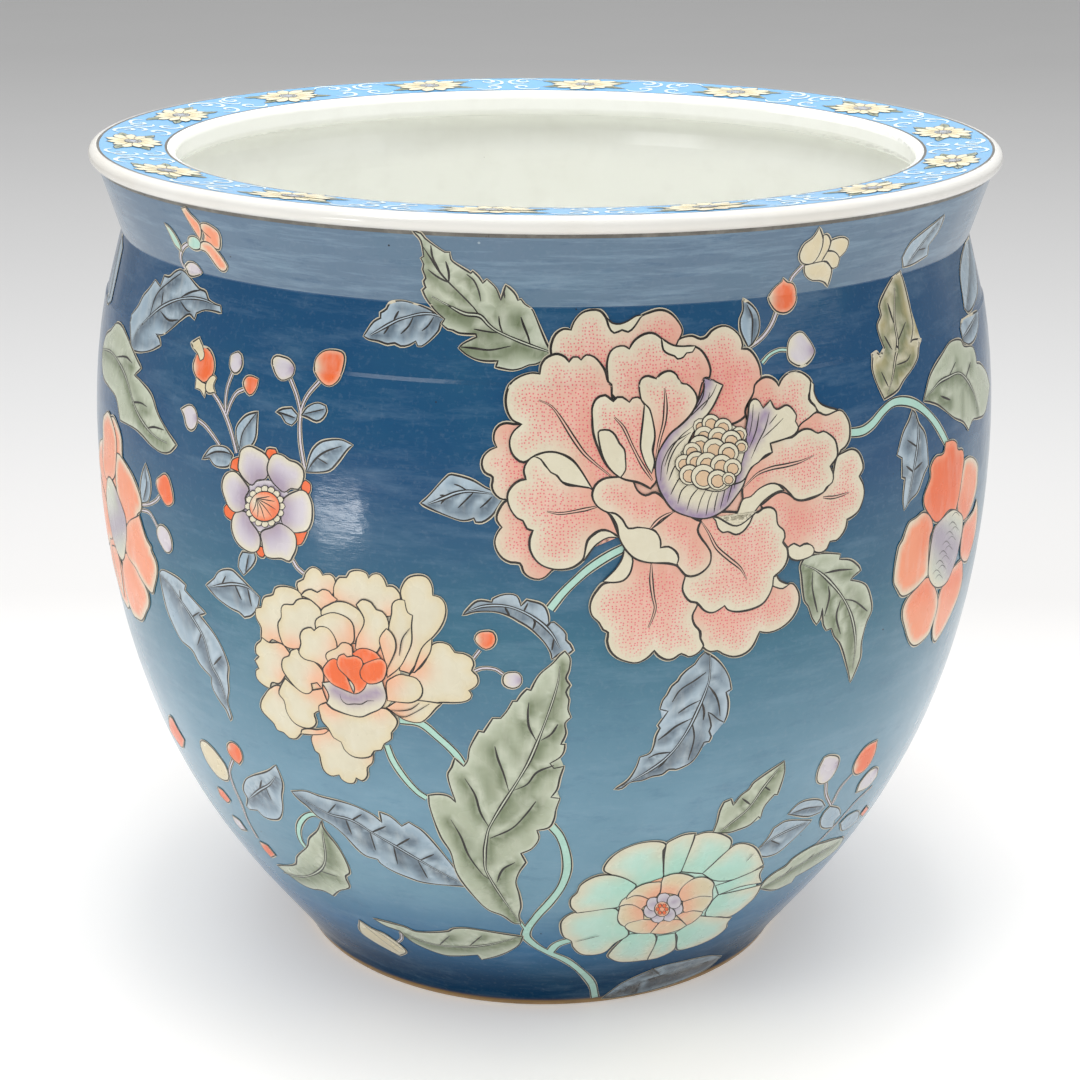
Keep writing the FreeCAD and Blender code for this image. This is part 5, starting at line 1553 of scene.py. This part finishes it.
class RimBrush(Brush):
    """Paints on the rim's top, in millimetres round and out from one flower's middle."""

    def __init__(self, name, scene, base=1):
        super().__init__(name, scene, base, RIM.place, ())
        self.radius = RIM_MIDDLE

    def chart(self, pixels):
        return [(RIM_START * RIM_MIDDLE + x * MM, RIM_MIDDLE + y * MM) for x, y in pixels]

    def stretch(self, run):
        return run / self.radius

    def normal_at(self, angle, co):
        return self.place(angle, RIM_MIDDLE, 0)[1]

    def finish(self, materials, slot="white_glaze", copies=RIM_FLOWERS):
        bmesh.ops.reverse_faces(self.bm, faces=self.bm.faces[:])
        return super().finish(materials, slot, copies)


class PAINT_OT_rim_flowers(bpy.types.Operator):
    """Paint the fourteen small flowers and their leaves round the rim"""
    bl_idname = "jardiniere.rim_flowers"
    bl_label = "Rim Flowers"

    def execute(self, context):
        brush = RimBrush("rim_flowers", context.scene)
        for side in (-1, 1):
            for tip in (9.5, -8.5):
                leaf = [(side * 8, 0), (side * 15, tip * 0.2), (side * 20, tip * 0.5),
                        (side * 25.5, tip * 0.9), (side * 20.5, tip), (side * 14.5, tip * 0.85),
                        (side * 9, tip * 0.5)]
                brush.shape(leaf, "pale_sage", "sage", 1.0 * MM, ink=0.5, halo=False, corner=50,
                            washes=[("dark_sage", 2 * MM, 0.8,
                                     [(side * 16, tip * 0.6), (side * 20, tip * 0.8)])])
                brush.line([(side * 9, tip * 0.2), (side * 15, tip * 0.55), (side * 24, tip * 0.9)], 0.5)
        for k in range(12):
            angle = 2 * math.pi * (k + 0.5) / 12
            def at(away, turn):
                return (1.6 * away * math.cos(angle + turn), 1.08 * away * math.sin(angle + turn))
            reach = 1.0 + 0.1 * math.sin(5.1 * k)
            petal = [at(3.5, -0.26), at(8.4, -0.29), at(11.2 * reach, -0.17), at(13.2 * reach, 0.04),
                     at(11.2 * reach, 0.19), at(8.4, 0.29), at(3.5, 0.26)]
            brush.shape(petal, "cream", "yellow_cream", 1.5 * MM, [("rim_petal", 2.5 * MM, 0.5, [at(6, 0)])],
                        ink=0.45, halo=False, corner=40)
        brush.shape([(5.6 * math.cos(a / 6 * math.pi), 4.2 * math.sin(a / 6 * math.pi)) for a in range(12)],
                    "rim_centre", "rim_centre", 1 * MM, ink=0.5, halo=False)
        for k in range(8):
            angle = 2 * math.pi * k / 8
            dot = [(3.6 * math.cos(angle) + 0.8 * math.cos(t), 2.6 * math.sin(angle) + 0.8 * math.sin(t))
                   for t in (0, 1.05, 2.1, 3.14, 4.19, 5.24)]
            brush.shape(dot, "cream", "cream", 1 * MM, ink=0.35, halo=False)
        brush.finish(enamels(context.scene))
        return {"FINISHED"}


RIM_SCROLLS = {
    "outer_hook": "25.5,10.5 3.5,3 5,0.3 4.5,-2.3 1,-4 -3,-2.3 -2.9,1.8 1,2.6",
    "inner_hook": "27,-10.5 4,-3.1 5,0 4.5,2.6 1,4.4 -3.5,2.2 -3,-2 1.2,-2.6",
    "link": "40.5,11.5 3,-2.5 1,-4 -1.5,-4 -3.5,-1.5 -3.5,1.3",
}


class PAINT_OT_rim_scrolls(bpy.types.Operator):
    """Paint the white scrolls between the rim's flowers"""
    bl_idname = "jardiniere.rim_scrolls"
    bl_label = "Rim Scrolls"

    def execute(self, context):
        brush = RimBrush("rim_scrolls", context.scene)
        for path in RIM_SCROLLS.values():
            for side in (-1, 1):
                flat = brush.chart([(side * x, y) for x, y in trace(path)])
                brush.stroke(smooth_line(flat, 1.0 * MM, corner=120), 2.1 * MM, layer=1,
                             paint="scroll_white", slot=0, wobble=0.12)
        brush.finish(enamels(context.scene))
        return {"FINISHED"}


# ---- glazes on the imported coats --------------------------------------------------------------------
class GLAZE_OT_coats(bpy.types.Operator):
    """Give every packed coat and clay section its finish"""
    bl_idname = "jardiniere.coats"
    bl_label = "Glazes and Grounds"

    def execute(self, context):
        colours = context.scene.jardiniere_glazes
        deep, mid, pale = tuple(colours.deep_blue), tuple(colours.mid_blue), tuple(colours.floor_reflection_blue)
        foot, neck, gold = tuple(colours.foot_shade_blue), tuple(colours.neck_blue), tuple(colours.foot_gold)
        # the ground's tone by height: gold for the foot line, painted shade at the foot, paler below the
        # belly as a painted reflection of the white floor, and the enamel's own deep blue above
        body = ground_enamel("blue ground enamel", colours, [
            (0.0, gold), (0.0042, gold), (0.0050, foot), (0.022, foot), (0.05, colour(48, 104, 146)),
            (0.09, pale), (0.15, pale), (0.235, mid), (0.305, deep), (0.36, deep)], 5.0)
        neck_ground = ground_enamel("neck ground enamel", colours, [(0.0, neck), (0.42, neck)], 11.0, 0.42)
        cream = (0.60, 0.52, 0.38)
        lining = white_glaze("lining glaze", tuple(colours.lining), (0.88, 0.88, 0.80), (0.12, 0.26), 0.012)
        lip = white_glaze("lip glaze", tuple(colours.lip_white), cream, (0.05, 0.12), 0.012)
        band = white_glaze("rim blue enamel", tuple(colours.rim_blue), (0.20, 0.52, 0.80), (0.14, 0.28),
                           0.02)
        dark = line_enamel("dark line enamel", tuple(colours.dark_line), (0.36, 0.35, 0.31))
        gilt = line_enamel("foot line gilding", tuple(colours.foot_gold), (0.16, 0.11, 0.06), 0.38, 0.4)
        clay = bare_clay("fired clay", tuple(colours.bisque))
        slip = bare_clay("luting slip clay", tuple(value * 1.05 for value in colours.bisque))
        finishes = {
            "body_ground_enamel": body, "shoulder_ground_enamel": body, "neck_ground_enamel": neck_ground,
            "neck_line": dark, "rim_outer_line": dark, "mouth_line": dark, "lip_glaze": lip,
            "lining_glaze": lining, "rim_band_enamel": band, "foot_gilding": gilt, "luting_slip": slip}
        for name, node in NODES.items():
            node.data.materials.clear()
            node.data.materials.append(finishes.get(name, clay))
        return {"FINISHED"}


# ---- studio ----------------------------------------------------------------------------------------
def area_light(name, power, size, place, aim):
    light = bpy.data.lights.new(name, "AREA")
    light.shape = "RECTANGLE"
    light.size, light.size_y = size
    light.energy = power
    lamp = bpy.data.objects.new(name, light)
    bpy.context.scene.collection.objects.link(lamp)
    lamp.location = place
    lamp.rotation_euler = (Vector(aim) - Vector(place)).to_track_quat("-Z", "Y").to_euler()


class STUDIO_OT_stage(bpy.types.Operator):
    """Set out the floor, the lights and the camera"""
    bl_idname = "jardiniere.stage"
    bl_label = "Studio"

    def execute(self, context):
        settings = context.scene.jardiniere_studio
        grid = bmesh.new()
        bmesh.ops.create_grid(grid, x_segments=1, y_segments=1, size=settings.floor_size / 2)
        mesh = bpy.data.meshes.new("floor")
        grid.to_mesh(mesh)
        grid.free()
        floor = bpy.data.objects.new("floor", mesh)
        context.scene.collection.objects.link(floor)
        shader = Shader("studio floor", 0.7, 1.3)
        depth = shader.add("ShaderNodeSeparateXYZ", {"Vector": shader.objects}).outputs["Y"]
        # the floor's colour runs from near white by the bowl to grey far away, a painted fall-off of light;
        # near the bowl it is tinted a little warm against the blue light bounced from the bowl
        painted_falloff = shader.ramp(shader.spread(depth, -0.4, 7.0), [
            (0.0, colour(255, 252, 248)), (0.065, colour(243, 241, 239)), (0.12, colour(212, 211, 210)),
            (0.20, colour(206, 206, 206)), (0.35, colour(197, 197, 197)), (0.58, colour(179, 179, 179)),
            (1.0, colour(167, 167, 167))])
        rays = shader.add("ShaderNodeLightPath").outputs
        # for camera, glossy and transmission rays the floor also glows with this colour, a painted
        # brightening that lifts its shadow
        seen = shader.math("MAXIMUM", rays["Is Camera Ray"],
                           shader.math("MAXIMUM", rays["Is Glossy Ray"], rays["Is Transmission Ray"]))
        shader.tree.links.new(shader.math("MULTIPLY", seen, 0.26), shader.bsdf.inputs["Emission Strength"])
        shader.tree.links.new(painted_falloff, shader.bsdf.inputs["Emission Color"])
        mesh.materials.append(shader.finish(shader.mix(
            shader.spread(shader.noise(3.0, 2.0), 0.4, 0.6, 0, 0.02), painted_falloff, (0.7, 0.7, 0.7))))

        world = bpy.data.worlds.new("studio light")
        context.scene.world = world
        world.use_nodes = True
        world.node_tree.nodes["Background"].inputs["Color"].default_value = (1, 1, 1, 1)
        world.node_tree.nodes["Background"].inputs["Strength"].default_value = settings.world_strength
        area_light("key softbox", settings.key_power, (0.9, 1.2), (-1.3, -1.5, 1.9), (0, 0, 0.25))
        area_light("fill softbox", settings.fill_power, (1.2, 1.6), (1.9, -0.9, 1.5), (0, 0, 0.25))
        area_light("top softbox", settings.top_power, (2.4, 2.4), (0.0, 0.3, 2.4), (0, 0, 0.2))
        area_light("mouth softbox", settings.mouth_power, (0.6, 0.6), (0.0, 0.0, 1.6), (0, 0, 0.2))
        area_light("glint lamp", settings.glint_power, (0.20, 0.07), (-0.84, -0.83, 0.05),
                   (-0.09, -0.21, 0.27))

        lens = bpy.data.cameras.new("camera")
        lens.sensor_width = SENSOR
        lens.lens = FOCAL_PIXELS * SENSOR / IMAGE_SIZE
        lens.shift_x = (IMAGE_SIZE / 2 - VIEW_AXIS[0]) / IMAGE_SIZE
        lens.shift_y = (VIEW_AXIS[1] - IMAGE_SIZE / 2) / IMAGE_SIZE
        camera = bpy.data.objects.new("camera", lens)
        context.scene.collection.objects.link(camera)
        camera.matrix_world = (Matrix.Translation(EYE) @ Matrix.Rotation(math.pi / 2 - LOOK_DOWN, 4, "X")
                               @ Matrix.Rotation(ROLL, 4, "Z"))
        context.scene.camera = camera
        context.scene.view_settings.view_transform = "Standard"
        return {"FINISHED"}


OPERATORS = (GLAZE_OT_coats, PAINT_OT_stems, PAINT_OT_slate_leaves, PAINT_OT_sage_leaves, PAINT_OT_buds,
             PAINT_OT_lilac_flower, PAINT_OT_cream_peony, PAINT_OT_mint_flower, PAINT_OT_poppies,
             PAINT_OT_pink_peony, PAINT_OT_rim_flowers, PAINT_OT_rim_scrolls, STUDIO_OT_stage)


class JARDINIERE_PT_panel(bpy.types.Panel):
    """Lists the steps that finish the jardiniere"""
    bl_idname = "JARDINIERE_PT_panel"
    bl_label = "Jardiniere"
    bl_space_type = "VIEW_3D"
    bl_region_type = "UI"
    bl_category = "Jardiniere"

    def draw(self, context):
        for operator in OPERATORS:
            self.layout.operator(operator.bl_idname)
        for group in ("jardiniere_glazes", "jardiniere_paints", "jardiniere_sizes", "jardiniere_studio"):
            settings = getattr(context.scene, group)
            for key in settings.__annotations__:
                self.layout.prop(settings, key)


CLASSES = (GlazeColours, PaintColours, PaintSizes, StudioSettings, *OPERATORS, JARDINIERE_PT_panel)


def register():
    for item in CLASSES:
        bpy.utils.register_class(item)
    bpy.types.Scene.jardiniere_glazes = PointerProperty(type=GlazeColours)
    bpy.types.Scene.jardiniere_paints = PointerProperty(type=PaintColours)
    bpy.types.Scene.jardiniere_sizes = PointerProperty(type=PaintSizes)
    bpy.types.Scene.jardiniere_studio = PointerProperty(type=StudioSettings)


def unregister():
    for name in ("jardiniere_glazes", "jardiniere_paints", "jardiniere_sizes", "jardiniere_studio"):
        delattr(bpy.types.Scene, name)
    for item in reversed(CLASSES):
        bpy.utils.unregister_class(item)


def main():
    """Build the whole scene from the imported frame."""
    register()
    for operator in OPERATORS:
        group, name = operator.bl_idname.split(".")
        getattr(getattr(bpy.ops, group), name)()


if __name__ == "__main__":
    main()
